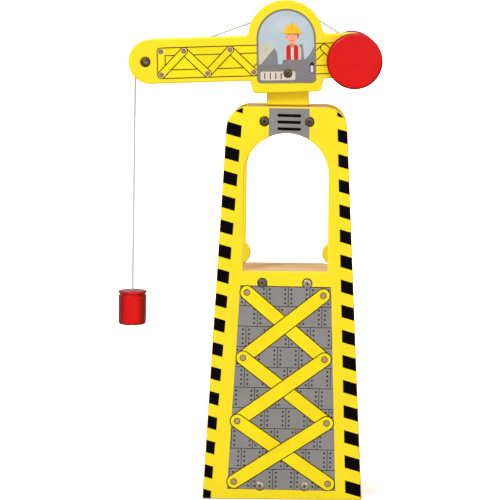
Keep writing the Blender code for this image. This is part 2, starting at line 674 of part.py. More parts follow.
def upper_rope_path():
    """In the jib's frame: off the drum, over the guide roller, through the tip block and down plumb."""
    first = over_tangent(WINCH_X, WINCH_Z, DRUM_ROPE_RADIUS, GUIDE_X, GUIDE_Z, GUIDE_ROPE_RADIUS)
    second = tip_bend_start_deg()
    plumb = 180 - JIB_REST_TILT_DEG
    off_x = DRUM_ROPE_RADIUS * math.cos(math.radians(first))
    off_z = DRUM_ROPE_RADIUS * math.sin(math.radians(first))
    path = [(WINCH_X + off_x, WINCH_Z + off_z)]
    path += arc(GUIDE_X, GUIDE_Z, GUIDE_ROPE_RADIUS, first, second, ROPE_ARC_STEPS)
    path += arc(TIP_BEND_X, TIP_BEND_Z, TIP_BEND_RADIUS, second, plumb, ROPE_ARC_STEPS)
    return path


def add_tube(bm, path, radius, sides):
    """Adds a round bar along a path of (x, z) points in the plane y = 0."""
    rings = []
    for i, (x, z) in enumerate(path):
        before, after = path[max(i - 1, 0)], path[min(i + 1, len(path) - 1)]
        run_x, run_z = after[0] - before[0], after[1] - before[1]
        length = math.hypot(run_x, run_z)
        side_x, side_z = -run_z / length, run_x / length
        ring = []
        for k in range(sides):
            angle = 2 * math.pi * k / sides
            off, depth = radius * math.cos(angle), radius * math.sin(angle)
            ring.append(bm.verts.new((x + off * side_x, depth, z + off * side_z)))
        rings.append(ring)
    for one, other in zip(rings, rings[1:]):
        for k in range(sides):
            n = (k + 1) % sides
            bm.faces.new((one[k], one[n], other[n], other[k]))
    bm.faces.new(rings[0])
    bm.faces.new(rings[-1])


def rope_mesh(name, path):
    bm = bmesh.new()
    add_tube(bm, path, ROPE_RADIUS, ROPE_SIDES)
    return finish_mesh(name, bm, smooth_below_deg=70.0)


def hanging_rope_and_block(red, rope, metal, axis, tip_height):
    """The plumb part of the rope below the tip, and the block on its end. z is measured from the tip."""
    top = BLOCK_BOTTOM_Z + BLOCK_HEIGHT - tip_height
    rope_end = top - 0.004
    mesh = rope_mesh("rope_drop", [(0.0, -GAP), (0.0, rope_end)])
    place("rope_drop", mesh, rope("rope_drop"), axis)
    bottom = top - BLOCK_HEIGHT
    mesh = turned_mesh("hoist_block", hoist_block_profile(bottom, top), axis="Z", sides=ROUND_SIDES)
    place("hoist_block", mesh, red("hoist_block"), axis)
    low = bottom + MAGNET_SINK
    chamfer = 0.0004
    profile = [(0.0, low), (MAGNET_RADIUS - chamfer, low), (MAGNET_RADIUS, low + chamfer)]
    profile += [(MAGNET_RADIUS, low + MAGNET_THICKNESS), (0.0, low + MAGNET_THICKNESS)]
    place("magnet", turned_mesh("magnet", profile, axis="Z"), metal, axis)
    knot_low = low + MAGNET_THICKNESS + 2 * GAP
    knot = arc(0.0, knot_low + KNOT_RADIUS, KNOT_RADIUS, -90, 70, 7)
    stem = [(ROPE_RADIUS, knot_low + 2 * KNOT_RADIUS), (ROPE_RADIUS, rope_end - 2 * GAP)]
    profile = [(0.0, knot_low)] + knot[1:] + stem + [(0.0, rope_end - 2 * GAP)]
    mesh = turned_mesh("rope_knot", profile, axis="Z", sides=HOLE_SIDES)
    place("rope_knot", mesh, rope("rope_knot"), axis)


def hoist_block_profile(bottom, top):
    """A turned block with a lip and a groove at its top and a rounded foot, bored for the rope, its knot
    and the magnet. It runs down the outside and up the inside."""
    lip, neck = BLOCK_RADIUS, BLOCK_RADIUS - GROOVE_DEPTH
    foot = BLOCK_RADIUS - BLOCK_TAPER
    round_x, round_z = foot - BLOCK_ROUNDING, bottom + BLOCK_ROUNDING
    rounding = arc(round_x, round_z, BLOCK_ROUNDING, 0, -90, 3)
    pocket = MAGNET_RADIUS + GAP
    pocket_top = bottom + MAGNET_SINK + MAGNET_THICKNESS + GAP
    chamber_top = pocket_top + KNOT_CHAMBER_HEIGHT
    outside = [
        (ROPE_BORE_RADIUS, top),
        (lip - 0.0010, top),
        (lip, top - 0.0008),
        (lip, top - 0.0018),
        (neck, top - 0.0024),
        (neck, top - 0.0032),
        (lip, top - 0.0038),
    ]
    inside = [(pocket, bottom), (pocket, pocket_top), (KNOT_CHAMBER_RADIUS, pocket_top)]
    inside += [(KNOT_CHAMBER_RADIUS, chamber_top), (ROPE_BORE_RADIUS, chamber_top)]
    return outside + rounding + inside


def main():
    clear_scene()
    yellow, tan, white, crimson = srgb(252, 226, 50), srgb(222, 186, 136), srgb(240, 238, 230), srgb(222, 26, 20)

    def paint(name):
        return principled(name, yellow, 0.45)

    def board(name):
        return principled(name, tan, 0.75)

    def rope(name):
        return principled(name, white, 0.9)

    def red(name):
        return principled(name, crimson, 0.35)

    bronze = principled("bronzed_screw", srgb(92, 70, 52), 0.4, 1.0)
    steel = principled("bright_screw", srgb(190, 176, 156), 0.35, 1.0)
    ferrite = principled("magnet", srgb(150, 150, 155), 0.3, 1.0)
    tower(paint, board, bronze, steel)
    slew_axis = pivot("slew_axis", (0.0, 0.0, TOWER_HEIGHT))
    screws = slewing_neck(paint, bronze, steel, slew_axis)
    jib_axis = pivot("jib_axis", (0.0, 0.0, PIVOT_HEIGHT - TOWER_HEIGHT), slew_axis, -TILT)
    jib(paint, board, bronze, screws, jib_axis)
    winch_axis = pivot("winch_axis", (WINCH_X, 0.0, WINCH_Z), jib_axis)
    winch(red, board, rope, winch_axis)
    guide_axis = pivot("guide_axis", (GUIDE_X, 0.0, GUIDE_Z), jib_axis)
    guide_roller(board, guide_axis)
    path = upper_rope_path()
    place("rope_upper", rope_mesh("rope_upper", path), rope("rope_upper"), jib_axis)
    hang_x, hang_z = path[-1]
    hang_axis = pivot("hang_axis", (hang_x, 0.0, hang_z), jib_axis, TILT)
    tip_height = PIVOT_HEIGHT + hang_x * math.sin(TILT) + hang_z * math.cos(TILT)
    hanging_rope_and_block(red, rope, ferrite, hang_axis, tip_height)


main()
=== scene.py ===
"""Looks of the toy tower crane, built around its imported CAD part.

Everything is in the part's own frame: +Z up, the front faces -Y and the jib reaches to -X. Shapes and prints
are laid out in millimetres, and mesh helpers turn them into metres.
"""

import json
import math

import bmesh
import bpy
from mathutils import Matrix, Vector


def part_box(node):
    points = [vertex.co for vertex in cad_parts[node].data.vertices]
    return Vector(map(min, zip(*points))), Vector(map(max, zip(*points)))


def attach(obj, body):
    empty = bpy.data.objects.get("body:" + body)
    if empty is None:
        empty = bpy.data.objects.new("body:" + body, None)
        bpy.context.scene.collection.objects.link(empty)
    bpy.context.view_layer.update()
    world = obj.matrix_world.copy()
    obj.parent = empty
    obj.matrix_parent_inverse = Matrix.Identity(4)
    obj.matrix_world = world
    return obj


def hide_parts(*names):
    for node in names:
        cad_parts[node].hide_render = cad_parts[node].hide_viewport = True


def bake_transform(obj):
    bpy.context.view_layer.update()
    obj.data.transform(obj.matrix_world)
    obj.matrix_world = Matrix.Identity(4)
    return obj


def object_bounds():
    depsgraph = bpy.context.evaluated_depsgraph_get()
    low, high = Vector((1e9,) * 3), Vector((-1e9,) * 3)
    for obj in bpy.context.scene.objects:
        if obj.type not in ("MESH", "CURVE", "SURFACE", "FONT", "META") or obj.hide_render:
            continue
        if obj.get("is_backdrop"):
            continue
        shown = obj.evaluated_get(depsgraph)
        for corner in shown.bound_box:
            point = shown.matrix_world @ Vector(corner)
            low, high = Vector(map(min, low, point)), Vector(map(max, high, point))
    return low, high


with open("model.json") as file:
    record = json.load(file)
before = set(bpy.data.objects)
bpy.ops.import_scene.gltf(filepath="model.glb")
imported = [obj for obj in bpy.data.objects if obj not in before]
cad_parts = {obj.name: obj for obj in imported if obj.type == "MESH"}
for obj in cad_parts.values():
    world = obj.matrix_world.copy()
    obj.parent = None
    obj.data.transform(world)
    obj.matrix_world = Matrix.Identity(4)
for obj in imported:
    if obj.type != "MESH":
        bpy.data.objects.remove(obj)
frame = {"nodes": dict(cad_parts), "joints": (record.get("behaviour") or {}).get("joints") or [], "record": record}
cad_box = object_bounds()

MM = 0.001
NODES = frame["nodes"]
JOINTS = {joint["name"]: joint for joint in frame["joints"]}

# Tower, the same shape as in the part
TOWER_HALF_WIDTH_TOP = 53.8
TOWER_CORNER_RADIUS = 20.0
ARCH_HALF_WIDTH = 38.2
ARCH_CENTRE_Z = 291.4
REAR_SILL_DROP = 3.0
SCREW_HOLE_RADIUS = 4.3
# Radius of the dark printed discs of painted shade round the screw heads.
SCREW_SHADOW_RADIUS = 4.15
PANEL_ROUNDING = 1.3

# Jib, in its own frame: the origin is at the pivot screws, x' runs along the arm and z' up
JIB_TILT_DEG = 2.5
ARM_CENTRE_Z = 14.45
ARM_HALF_HEIGHT = 20.45
ARM_TIP_X = -144.5
ARM_BACK_X = 79.5
CAB_CENTRE_X = -1.2
CAB_ARCH_RADIUS = 34.4
CAB_ARCH_CENTRE_Z = 32.6
CAB_FILLET = 4.0
CAB_SKIRT_HALF_WIDTH_TOP = 33.5
CAB_SKIRT_HALF_WIDTH_BOTTOM = 31.6
CAB_BOTTOM_Z = -17.5
CAB_BOTTOM_CORNER = 3.8
JIB_PLATE_ROUNDING = 1.6
NECK_CLEARANCE = 0.15
NECK_CHAMFER = 1.5
WINCH = (60.0, 10.2)
AXLE_RADIUS = 5.0
AXLE_BORE_RADIUS = 5.1
AXLE_HOLE_RADIUS = 6.0
AXLE_LEAN = 0.024
KNOB_BORE_DEPTH = 9.5
KNOB_ROUNDING = 2.8
GUIDE = (8.7, 54.4)
GUIDE_ROPE_RADIUS = 6.0
TIP_BEND = (-137.7, 9.9)
TIP_BEND_RADIUS = 2.5
DRUM_ROPE_RADIUS = 13.3
DRUM_CORE_RADIUS = 10.0
DRUM_WOUND_HALF_LENGTH = 9.0
DRUM_FLANGE_THICKNESS = 2.0

# Hoist block
BLOCK_HOLE_RADIUS = 1.4
BLOCK_FOOT_ROUNDING = 2.2
MAGNET_WELL_RADIUS = 8.3
MAGNET_WELL_DEPTH = 4.4

# Rope
ROPE_RADIUS = 1.2
ROPE_LAY = 4.6
ROPE_SIDES = 12
ROPE_RINGS_PER_LAY = 8
COIL_PITCH = 2.4

# Prints
INK_STEP = 0.005
INK_SINK = 0.02
PRINT_THICKNESS = 0.3
INK_LINE = 0.9
INK_SPECULAR, MATT_INK_SPECULAR = 0.15, 0.04
MATT_INKS = ("black", "dark", "brown")
PRINT_TURN_DEG = -0.5
HAZARD_PITCH = 22.4
HAZARD_SLOPE = 0.28
HAZARD_TOP = 369.8
HAZARD_BLACK = 11.3
HAZARD_COUNT = 18
HAZARD_NEAR_X, HAZARD_FAR_X = 30.0, 80.0
HAZARD_INNER = {"left": (-39.4, -64.2), "right": (45.0, 57.2)}
VENT_LEFT_X, VENT_RIGHT_X = -16.2, 20.4
VENT_SLOT_HEIGHTS = (345.9, 339.9, 333.8)
VENT_SLOT_HALF_SIZE = (10.6, 1.35)
VENT_SLOT_TURN_DEG = -1.0
SHEET_TOP_Z, SHEET_BOTTOM_Z = 192.2, 8.6
SHEET_EDGE_LINE = 0.8
SHEET_HALF_WIDTH_TOP, SHEET_HALF_WIDTH_BOTTOM = 40.9, 48.8
SHEET_ROWS = 10
SEAM_PITCH = 19.35
SEAM_HALF_WIDTH = 0.3
SEAM_FIRST_X = 4.5
SEAM_DRIFT = -0.3
SEAM_TOP_ROW_SHIFT = -1.9
RIVET_OFFSET = 2.75
RIVET_SPACING = 4.1
RIVET_RADIUS = 0.95
LATTICE_LEFT = ((-34.0, 186.2), (-36.8, 127.2), (-41.3, 70.2), (-43.6, 15.6))
LATTICE_RIGHT = ((34.9, 184.0), (36.6, 126.4), (39.3, 69.0), (41.0, 14.4))
LATTICE_BAR_RADIUS = 6.7
LATTICE_FIRST_LEVEL = 4
LATTICE_PIN_RADIUS, LATTICE_PIN_RIM_RADIUS = 2.4, 3.0
TRUSS_LEFT_X, TRUSS_RIGHT_X = -118.3, 50.0
TRUSS_BOTTOM_Z, TRUSS_TOP_Z = -1.7, 26.9
TRUSS_BAND = 7.1
TRUSS_FIRST_NODE_X = -114.5
TRUSS_NODE_PITCH = 20.9
TRUSS_NODE_LOW_Z, TRUSS_NODE_HIGH_Z = 2.05, 23.1
TRUSS_BAR_RADIUS = 3.75
TRUSS_FIRST_BAR_LEVEL = 5
TRUSS_PIN_RADIUS, TRUSS_HALO_RADIUS = 2.45, 2.95
TRUSS_LAST_BAR = ((33.6, 22.2), (45.0, 10.8))
WINDOW_TURN_DEG = -1.2
WINDOW_HALF_WIDTH = 27.0
WINDOW_CENTRE_X = -1.2
WINDOW_ARCH_Z = 31.7
WINDOW_BOTTOM_Z = -9.0
WINDOW_FRAME = 1.9
WINDOW_FIRST_LEVEL = 24

# The camera's place and lens, found by fitting the part's corners to their places in the photograph's frame
CAMERA_PLACE = (0.03363, -1.98581, 0.44435)
CAMERA_YAW = 0.00941
CAMERA_PITCH = -0.00603
CAMERA_ROLL = 0.01347
CAMERA_LENS = 155.52
CAMERA_SHIFT = (-0.192, -0.460)

# Light, in metres: a lamp has a name, a place, a point it faces, a width and a power
WORLD_STRENGTH = 1.12
SIDE_STRENGTH = 0.05
TOY_CENTRE = (0.0, 0.0, 0.2)
WALL_CENTRE = (0.0, 3.5, 0.9)
LAMPS = (
    ("key", (-1.4, -2.2, 2.2), TOY_CENTRE, 1.0, 50.0),
    ("fill", (1.4, -2.6, 0.35), TOY_CENTRE, 1.6, 15.0),
    ("top", (0.1, 0.3, 2.6), TOY_CENTRE, 1.2, 14.0),
    ("wall_left", (-2.6, 1.2, 1.6), WALL_CENTRE, 2.0, 85.0),
    ("wall_right", (2.6, 1.2, 1.6), WALL_CENTRE, 2.0, 85.0),
)
GLOW_NEAR, GLOW_FAR = 0.35, 1.6
GLOW_LEAST = 0.12


# ---------------------------------------------------------------------------------------------- materials


def srgb(red, green, blue):
    linear = []
    for value in (red / 255, green / 255, blue / 255):
        linear.append(value / 12.92 if value <= 0.04045 else ((value + 0.055) / 1.055) ** 2.4)
    return (*linear, 1.0)


YELLOW = srgb(253, 225, 20)
# The edge colour of the yellow boards is painted shade on their rounded edges.
YELLOW_EDGE_SHADE = srgb(246, 216, 36)
OUTLINE_BROWN = srgb(66, 34, 6)
BLACK = srgb(7, 2, 4)
STEEL_GREY = srgb(140, 137, 134)
SEAM_DARK = srgb(48, 42, 48)
TAN = srgb(222, 184, 138)
TAN_DARK = srgb(196, 152, 104)
RED = srgb(222, 6, 4)
SPECULAR = "Specular IOR Level"


def new_material(name, settings=None):
    """A material with its tree and shader, and a socket for the place on the object, in metres."""
    material = bpy.data.materials.new(name)
    material.use_nodes = True
    tree = material.node_tree
    shader = tree.nodes["Principled BSDF"]
    for key, value in (settings or {}).items():
        shader.inputs[key].default_value = value
    return material, tree, shader, add(tree, "ShaderNodeTexCoord").outputs["Object"]


def add(tree, kind, inputs=None, **settings):
    """Adds a shader node. A value in inputs is either a socket to link or a plain value."""
    node = tree.nodes.new(kind)
    for key, value in settings.items():
        setattr(node, key, value)
    for key, value in (inputs or {}).items():
        if isinstance(value, bpy.types.NodeSocket):
            tree.links.new(value, node.inputs[key])
        else:
            node.inputs[key].default_value = value
    return node


def link(tree, socket, shader, name):
    tree.links.new(socket, shader.inputs[name])


def noise(tree, vector, scale, detail=3.0, distortion=0.0):
    inputs = {"Vector": vector, "Scale": scale, "Detail": detail, "Distortion": distortion}
    return add(tree, "ShaderNodeTexNoise", inputs).outputs["Fac"]


def fit(tree, value, low, high, to_low, to_high):
    inputs = {"Value": value, "From Min": low, "From Max": high, "To Min": to_low, "To Max": to_high}
    return add(tree, "ShaderNodeMapRange", inputs).outputs["Result"]


def blend_colours(tree, factor, first, second, mode="MIX"):
    node = add(tree, "ShaderNodeMix", data_type="RGBA", blend_type=mode)
    for index, value in ((0, factor), (6, first), (7, second)):
        if isinstance(value, bpy.types.NodeSocket):
            tree.links.new(value, node.inputs[index])
        else:
            node.inputs[index].default_value = value
    return node.outputs[2]


def add_bump(tree, shader, height, strength, distance):
    inputs = {"Height": height, "Strength": strength, "Distance": distance}
    link(tree, add(tree, "ShaderNodeBump", inputs).outputs["Normal"], shader, "Normal")


def shade(colour, factor):
    return (*(min(1.0, channel * factor) for channel in colour[:3]), 1.0)


def mottled(tree, value, first, second, low=0.3, high=0.7):
    """A colour that wanders between two others as a noise value wanders from low to high."""
    return blend_colours(tree, fit(tree, value, low, high, 0.0, 1.0), first, second)


def round_axis(tree, place, axis):
    """Sockets for the distance from an axis of the object, Y or Z, and for the place along it."""
    parts = add(tree, "ShaderNodeSeparateXYZ", {"Vector": place}).outputs
    flat = add(tree, "ShaderNodeCombineXYZ", {"X": parts["X"], "Y": parts["Z" if axis == "Y" else "Y"]})
    radius = add(tree, "ShaderNodeVectorMath", {0: flat.outputs[0]}, operation="LENGTH").outputs["Value"]
    return radius, parts[axis]


def painted_board(name, face, edge):
    """Sprayed paint on fibre board: a faint mottle and orange peel, with darker, duller paint on the edges as
    painted shade.
    """
    material, tree, shader, place = new_material(name, {SPECULAR: 0.3})
    colour = mottled(tree, noise(tree, place, 28.0, 4.0), shade(face, 0.965), shade(face, 1.02))
    normal = add(tree, "ShaderNodeTexCoord").outputs["Normal"]
    facing = add(tree, "ShaderNodeSeparateXYZ", {"Vector": normal}).outputs["Y"]
    across = add(tree, "ShaderNodeMath", {0: facing}, operation="ABSOLUTE").outputs["Value"]
    # Painted shade: faces that turn away from front and back take the darker edge colour, for the shade on the
    # rounded edges.
    edge_shade_share = fit(tree, across, 0.98, 0.70, 0.0, 1.0)
    edge_shade_colour = mottled(tree, noise(tree, place, 420.0, 5.0), shade(edge, 0.95), edge, 0.35, 0.65)
    link(tree, blend_colours(tree, edge_shade_share, colour, edge_shade_colour), shader, "Base Color")
    link(tree, fit(tree, noise(tree, place, 260.0, 4.0), 0.3, 0.7, 0.36, 0.50), shader, "Roughness")
    add_bump(tree, shader, noise(tree, place, 700.0, 3.0), 0.12, 0.00008)
    return material


def turned_lacquer(name, axis):
    """Glossy red paint on turned wood: faint rings show through it, and its rims, seen edge-on, are darkened as
    painted shade.
    """
    settings = {SPECULAR: 0.18, "Coat Weight": 0.05, "Coat Roughness": 0.16}
    material, tree, shader, place = new_material(name, settings)
    radius, along = round_axis(tree, place, axis)
    rings = noise(tree, add(tree, "ShaderNodeCombineXYZ", {"X": radius, "Y": along}).outputs[0], 900.0, 2.0)
    # Painted shade: the red darkens to a third where the surface turns away from the camera, for a dark contour at
    # the rims.
    facing = add(tree, "ShaderNodeLayerWeight", {"Blend": 0.5}).outputs["Facing"]
    rim_shade = fit(tree, facing, 0.08, 0.38, 0.0, 1.0)
    even = mottled(tree, noise(tree, place, 90.0, 2.0), shade(RED, 0.95), shade(RED, 1.04))
    link(tree, blend_colours(tree, rim_shade, even, shade(RED, 0.3)), shader, "Base Color")
    link(tree, fit(tree, rings, 0.3, 0.7, 0.26, 0.38), shader, "Roughness")
    add_bump(tree, shader, rings, 0.05, 0.00008)
    return material


def bare_wood(name, along):
    """Sanded wood with the grain along X or Y, and open pores as fine dark dashes."""
    material, tree, shader, place = new_material(name)
    stretch = {"X": (0.09, 1.0, 1.0), "Y": (1.0, 0.09, 1.0)}[along]
    mapped = add(tree, "ShaderNodeMapping", {"Vector": place, "Scale": stretch}).outputs["Vector"]
    rings = noise(tree, mapped, 130.0, 4.0, 1.2)
    pores = fit(tree, noise(tree, mapped, 1500.0, 3.0), 0.62, 0.78, 0.0, 1.0)
    colour = mottled(tree, rings, TAN, TAN_DARK, 0.32, 0.68)
    link(tree, blend_colours(tree, pores, colour, shade(TAN_DARK, 0.6)), shader, "Base Color")
    link(tree, fit(tree, rings, 0.3, 0.7, 0.62, 0.78), shader, "Roughness")
    relief = add(tree, "ShaderNodeMath", {0: pores, 1: -0.5, 2: rings}, operation="MULTIPLY_ADD")
    add_bump(tree, shader, relief.outputs["Value"], 0.25, 0.00012)
    return material


def worn_metal(name, colour, roughness, recess=None):
    """Plated steel with patches of tarnish and fine scratches. A screw has a dark ring of painted shade round its
    rim, and its recess takes the given colour as painted light, with the metal sheen taken out there."""
    material, tree, shader, place = new_material(name, {"Metallic": 0.9})
    plating = mottled(tree, noise(tree, place, 500.0, 4.0), shade(colour, 0.6), colour, 0.35, 0.65)
    if recess:
        radius, depth = round_axis(tree, place, "Y")
        # Painted shade: a dark ring round the head's rim, where it meets its hole.
        rim_shade_share = fit(tree, radius, 3.4 * MM, 3.9 * MM, 0.0, 1.0)
        plating = blend_colours(tree, rim_shade_share, plating, shade(colour, 0.15))
        # Painted light in the cross recess: shade or a highlight in the given colour, made non-metallic so that it
        # shows.
        inside = fit(tree, radius, 2.6 * MM, 2.5 * MM, 0.0, 1.0)
        deep = fit(tree, depth, -0.72 * MM, -0.6 * MM, 0.0, 1.0)
        recess_light_share = add(tree, "ShaderNodeMath", {0: inside, 1: deep}, operation="MULTIPLY").outputs["Value"]
        plating = blend_colours(tree, recess_light_share, plating, recess)
        link(tree, fit(tree, recess_light_share, 0.0, 1.0, 0.9, 0.0), shader, "Metallic")
    link(tree, plating, shader, "Base Color")
    scratches = noise(tree, place, 2600.0, 2.0)
    link(tree, fit(tree, scratches, 0.3, 0.7, roughness - 0.08, roughness + 0.14), shader, "Roughness")
    add_bump(tree, shader, scratches, 0.15, 0.00003)
    return material


def printed_ink(name, colour, specular):
    """Screen-printed ink: a slight unevenness in tone, and pinholes that let the gloss vary."""
    material, tree, shader, place = new_material(name, {SPECULAR: specular})
    tone = noise(tree, place, 45.0, 5.0)
    specks = fit(tree, noise(tree, place, 1900.0, 1.0), 0.70, 0.80, 0.0, 0.5)
    even = mottled(tree, tone, shade(colour, 0.93), shade(colour, 1.05))
    link(tree, blend_colours(tree, specks, even, shade(colour, 1.35)), shader, "Base Color")
    link(tree, fit(tree, tone, 0.3, 0.7, 0.40, 0.51), shader, "Roughness")
    add_bump(tree, shader, noise(tree, place, 900.0, 2.0), 0.06, 0.00005)
    return material


def cotton_rope(name):
    material, tree, shader, place = new_material(name, {"Roughness": 0.9, SPECULAR: 0.1})
    fibres = noise(tree, place, 5200.0, 4.0, 0.6)
    link(tree, mottled(tree, fibres, srgb(194, 196, 200), srgb(222, 224, 228)), shader, "Base Color")
    add_bump(tree, shader, fibres, 0.15, 0.00005)
    return material


def moulded_nylon(name):
    material, tree, shader, place = new_material(name, {"Roughness": 0.6})
    grain = noise(tree, place, 1500.0, 3.0)
    link(tree, mottled(tree, grain, srgb(48, 48, 50), srgb(66, 66, 68)), shader, "Base Color")
    add_bump(tree, shader, grain, 0.2, 0.00005)
    return material


def studio_white(name):
    """White to the camera, but it throws little light back on the toy, so the toy's edges stay defined. It
    glows more with distance from the toy, so that no horizon shows."""
    settings = {"Roughness": 0.9, SPECULAR: 0.1, "Emission Color": (1.0, 1.0, 1.0, 1.0)}
    material, tree, shader, place = new_material(name, settings)
    seen = mottled(tree, noise(tree, place, 2.0, 2.0), (0.93, 0.93, 0.93, 1), (0.95, 0.95, 0.95, 1))
    by_camera = add(tree, "ShaderNodeLightPath").outputs["Is Camera Ray"]
    link(tree, blend_colours(tree, by_camera, (0.4, 0.4, 0.4, 1), seen), shader, "Base Color")
    distance = add(tree, "ShaderNodeVectorMath", {0: place}, operation="LENGTH").outputs["Value"]
    glow = fit(tree, distance, GLOW_NEAR, GLOW_FAR, GLOW_LEAST, 1.0)
    link(tree, fit(tree, by_camera, 0.0, 1.0, 0.0, glow), shader, "Emission Strength")
    return material


# ------------------------------------------------------------------------------------------- mesh helpers


def smooth(mesh, sharp_deg=35.0):
    mesh.shade_smooth()
    mesh.set_sharp_from_angle(angle=math.radians(sharp_deg))
    return mesh


def finish_mesh(name, bm, sharp_deg=35.0):
    bmesh.ops.recalc_face_normals(bm, faces=bm.faces)
    mesh = bpy.data.meshes.new(name)
    bm.to_mesh(mesh)
    bm.free()
    return smooth(mesh, sharp_deg)


def piece(name, mesh, material, body, replaces=(), slot=None, matrix=None):
    """Adds one visible piece, which moves with a CAD body and may stand for CAD nodes."""
    obj = bpy.data.objects.new(name, mesh)
    bpy.context.scene.collection.objects.link(obj)
    if not mesh.materials:
        mesh.materials.append(material)
    if matrix is not None:
        obj.matrix_world = matrix
    if body:
        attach(obj, body)
    if replaces:
        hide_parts(*replaces)
    return obj


def even_normals(obj):
    """Keeps large flat faces flat in the shading where they meet a small rounding."""
    modifier = obj.modifiers.new("even_normals", "WEIGHTED_NORMAL")
    modifier.keep_sharp = True
    modifier.weight = 90


def mirrored(mesh, name):
    """A copy of a mesh for the other side of the toy, turned over front to back."""
    bm = bmesh.new()
    bm.from_mesh(mesh)
    bmesh.ops.transform(bm, matrix=Matrix.Scale(-1.0, 4, (0.0, 1.0, 0.0)), verts=bm.verts)
    bmesh.ops.reverse_faces(bm, faces=bm.faces)
    copy = bpy.data.meshes.new(name)
    bm.to_mesh(copy)
    bm.free()
    for material in mesh.materials:
        copy.materials.append(material)
    return smooth(copy)


def cut(obj, cutter, arms_cross=False):
    """The mesh of an object with a cutter's shape taken away. The cutter goes, and so do the modifiers."""
    modifier = obj.modifiers.new("cut", "BOOLEAN")
    modifier.object = cutter
    modifier.solver = "EXACT"
    modifier.use_self = arms_cross
    graph = bpy.context.evaluated_depsgraph_get()
    mesh = bpy.data.meshes.new_from_object(obj.evaluated_get(graph))
    obj.modifiers.clear()
    bpy.data.objects.remove(cutter)
    return mesh


def slab_mesh(name, outline, holes, low_y, high_y, rounding):
    """A board cut to an (x, z) outline with through holes, and with all its edges rounded over."""
    curve = bpy.data.curves.new(name, "CURVE")
    curve.dimensions = "2D"
    curve.fill_mode = "BOTH"
    curve.extrude = ((high_y - low_y) / 2 - rounding) * MM
    curve.bevel_depth = rounding * MM
    curve.bevel_resolution = 3
    curve.offset = -rounding * MM
    for loop in [outline] + holes:
        spline = curve.splines.new("POLY")
        spline.points.add(len(loop) - 1)
        for point, (x, z) in zip(spline.points, loop):
            point.co = (x * MM, z * MM, 0.0, 1.0)
        spline.use_cyclic_u = True
    holder = bpy.data.objects.new(name, curve)
    bpy.context.scene.collection.objects.link(holder)
    graph = bpy.context.evaluated_depsgraph_get()
    flat = bpy.data.meshes.new_from_object(holder.evaluated_get(graph))
    bpy.data.objects.remove(holder)
    bpy.data.curves.remove(curve)
    bm = bmesh.new()
    bm.from_mesh(flat)
    bpy.data.meshes.remove(flat)
    bmesh.ops.remove_doubles(bm, verts=bm.verts, dist=0.002 * MM)
    upright = Matrix.Translation((0.0, (low_y + high_y) / 2 * MM, 0.0)) @ Matrix.Rotation(math.pi / 2, 4, "X")
    bmesh.ops.transform(bm, matrix=upright, verts=bm.verts)
    return finish_mesh(name, bm, 60.0)


def at_depth(outline, y):
    return [(x * MM, y * MM, z * MM) for x, z in outline]


def add_solid(bm, near, far):
    """Joins two loops with the same number of points into a closed solid."""
    front = [bm.verts.new(place) for place in near]
    back = [bm.verts.new(place) for place in far]
    bm.faces.new(front)
    bm.faces.new(list(reversed(back)))
    count = len(front)
    for i in range(count):
        j = (i + 1) % count
        bm.faces.new((front[j], front[i], back[i], back[j]))


def ink_mesh(name, shapes, face_y):
    """Thin printed shapes on a board's front face, as (level, outline) with the highest level on top."""
    bm = bmesh.new()
    for level, outline in shapes:
        near, far = at_depth(outline, face_y - level * INK_STEP), at_depth(outline, face_y + INK_SINK)
        add_solid(bm, near, far)
    return finish_mesh(name, bm)


def turned_mesh(name, profile, axis="Y", sides=64, sharp_deg=35.0):
    """A turned shape. profile holds (radius, place along the axis), from axis to axis or round a bore."""
    bm = bmesh.new()
    rings = []
    for radius, along in profile:
        ring = []
        for i in range(1 if radius == 0 else sides):
            angle = 2 * math.pi * i / sides
            across, up = radius * MM * math.cos(angle), radius * MM * math.sin(angle)
            local = (across, along * MM, up) if axis == "Y" else (across, up, along * MM)
            ring.append(bm.verts.new(local))
        rings.append(ring)
    solid = profile[0][0] == 0 and profile[-1][0] == 0
    following = rings[1:] if solid else rings[1:] + rings[:1]
    for one, other in zip(rings, following):
        for i in range(sides):
            j = (i + 1) % sides
            corners = [one[i % len(one)], one[j % len(one)], other[j % len(other)], other[i % len(other)]]
            bm.faces.new(list(dict.fromkeys(corners)))
    return finish_mesh(name, bm, sharp_deg)


def rope_mesh(name, path):
    """A rope of three twisted strands. path holds (point, a direction across the rope) in millimetres."""
    bm = bmesh.new()
    strand, offset = 0.53 * ROPE_RADIUS, 0.47 * ROPE_RADIUS
    previous, run = None, 0.0
    for i, (point, across) in enumerate(path):
        ahead = path[min(i + 1, len(path) - 1)][0] - path[max(i - 1, 0)][0]
        other = ahead.cross(across).normalized()
        if i:
            run += (point - path[i - 1][0]).length
        ring = []
        for k in range(ROPE_SIDES):
            angle = 2 * math.pi * k / ROPE_SIDES
            to_strand = (angle + math.pi / 3) % (2 * math.pi / 3) - math.pi / 3
            sideways = offset * math.sin(to_strand)
            radius = offset * math.cos(to_strand) + math.sqrt(strand**2 - sideways**2)
            turned = angle + 2 * math.pi * run / ROPE_LAY
            spot = point + radius * (math.cos(turned) * across + math.sin(turned) * other)
            ring.append(bm.verts.new(spot * MM))
        if previous:
            for k in range(ROPE_SIDES):
                n = (k + 1) % ROPE_SIDES
                bm.faces.new((previous[k], previous[n], ring[n], ring[k]))
        else:
            bm.faces.new(ring)
        previous = ring
    bm.faces.new(previous)
    return finish_mesh(name, bm, 75.0)


def soften(obj, width=0.35):
    """Rounds the single-step chamfers of a CAD block a little, without changing its mesh."""
    weld = obj.modifiers.new("weld", "WELD")
    weld.merge_threshold = 0.001 * MM
    bevel = obj.modifiers.new("soften", "BEVEL")
    bevel.width = width * MM
    bevel.segments = 2
    bevel.limit_method = "ANGLE"
    bevel.angle_limit = math.radians(25)
    even_normals(obj)


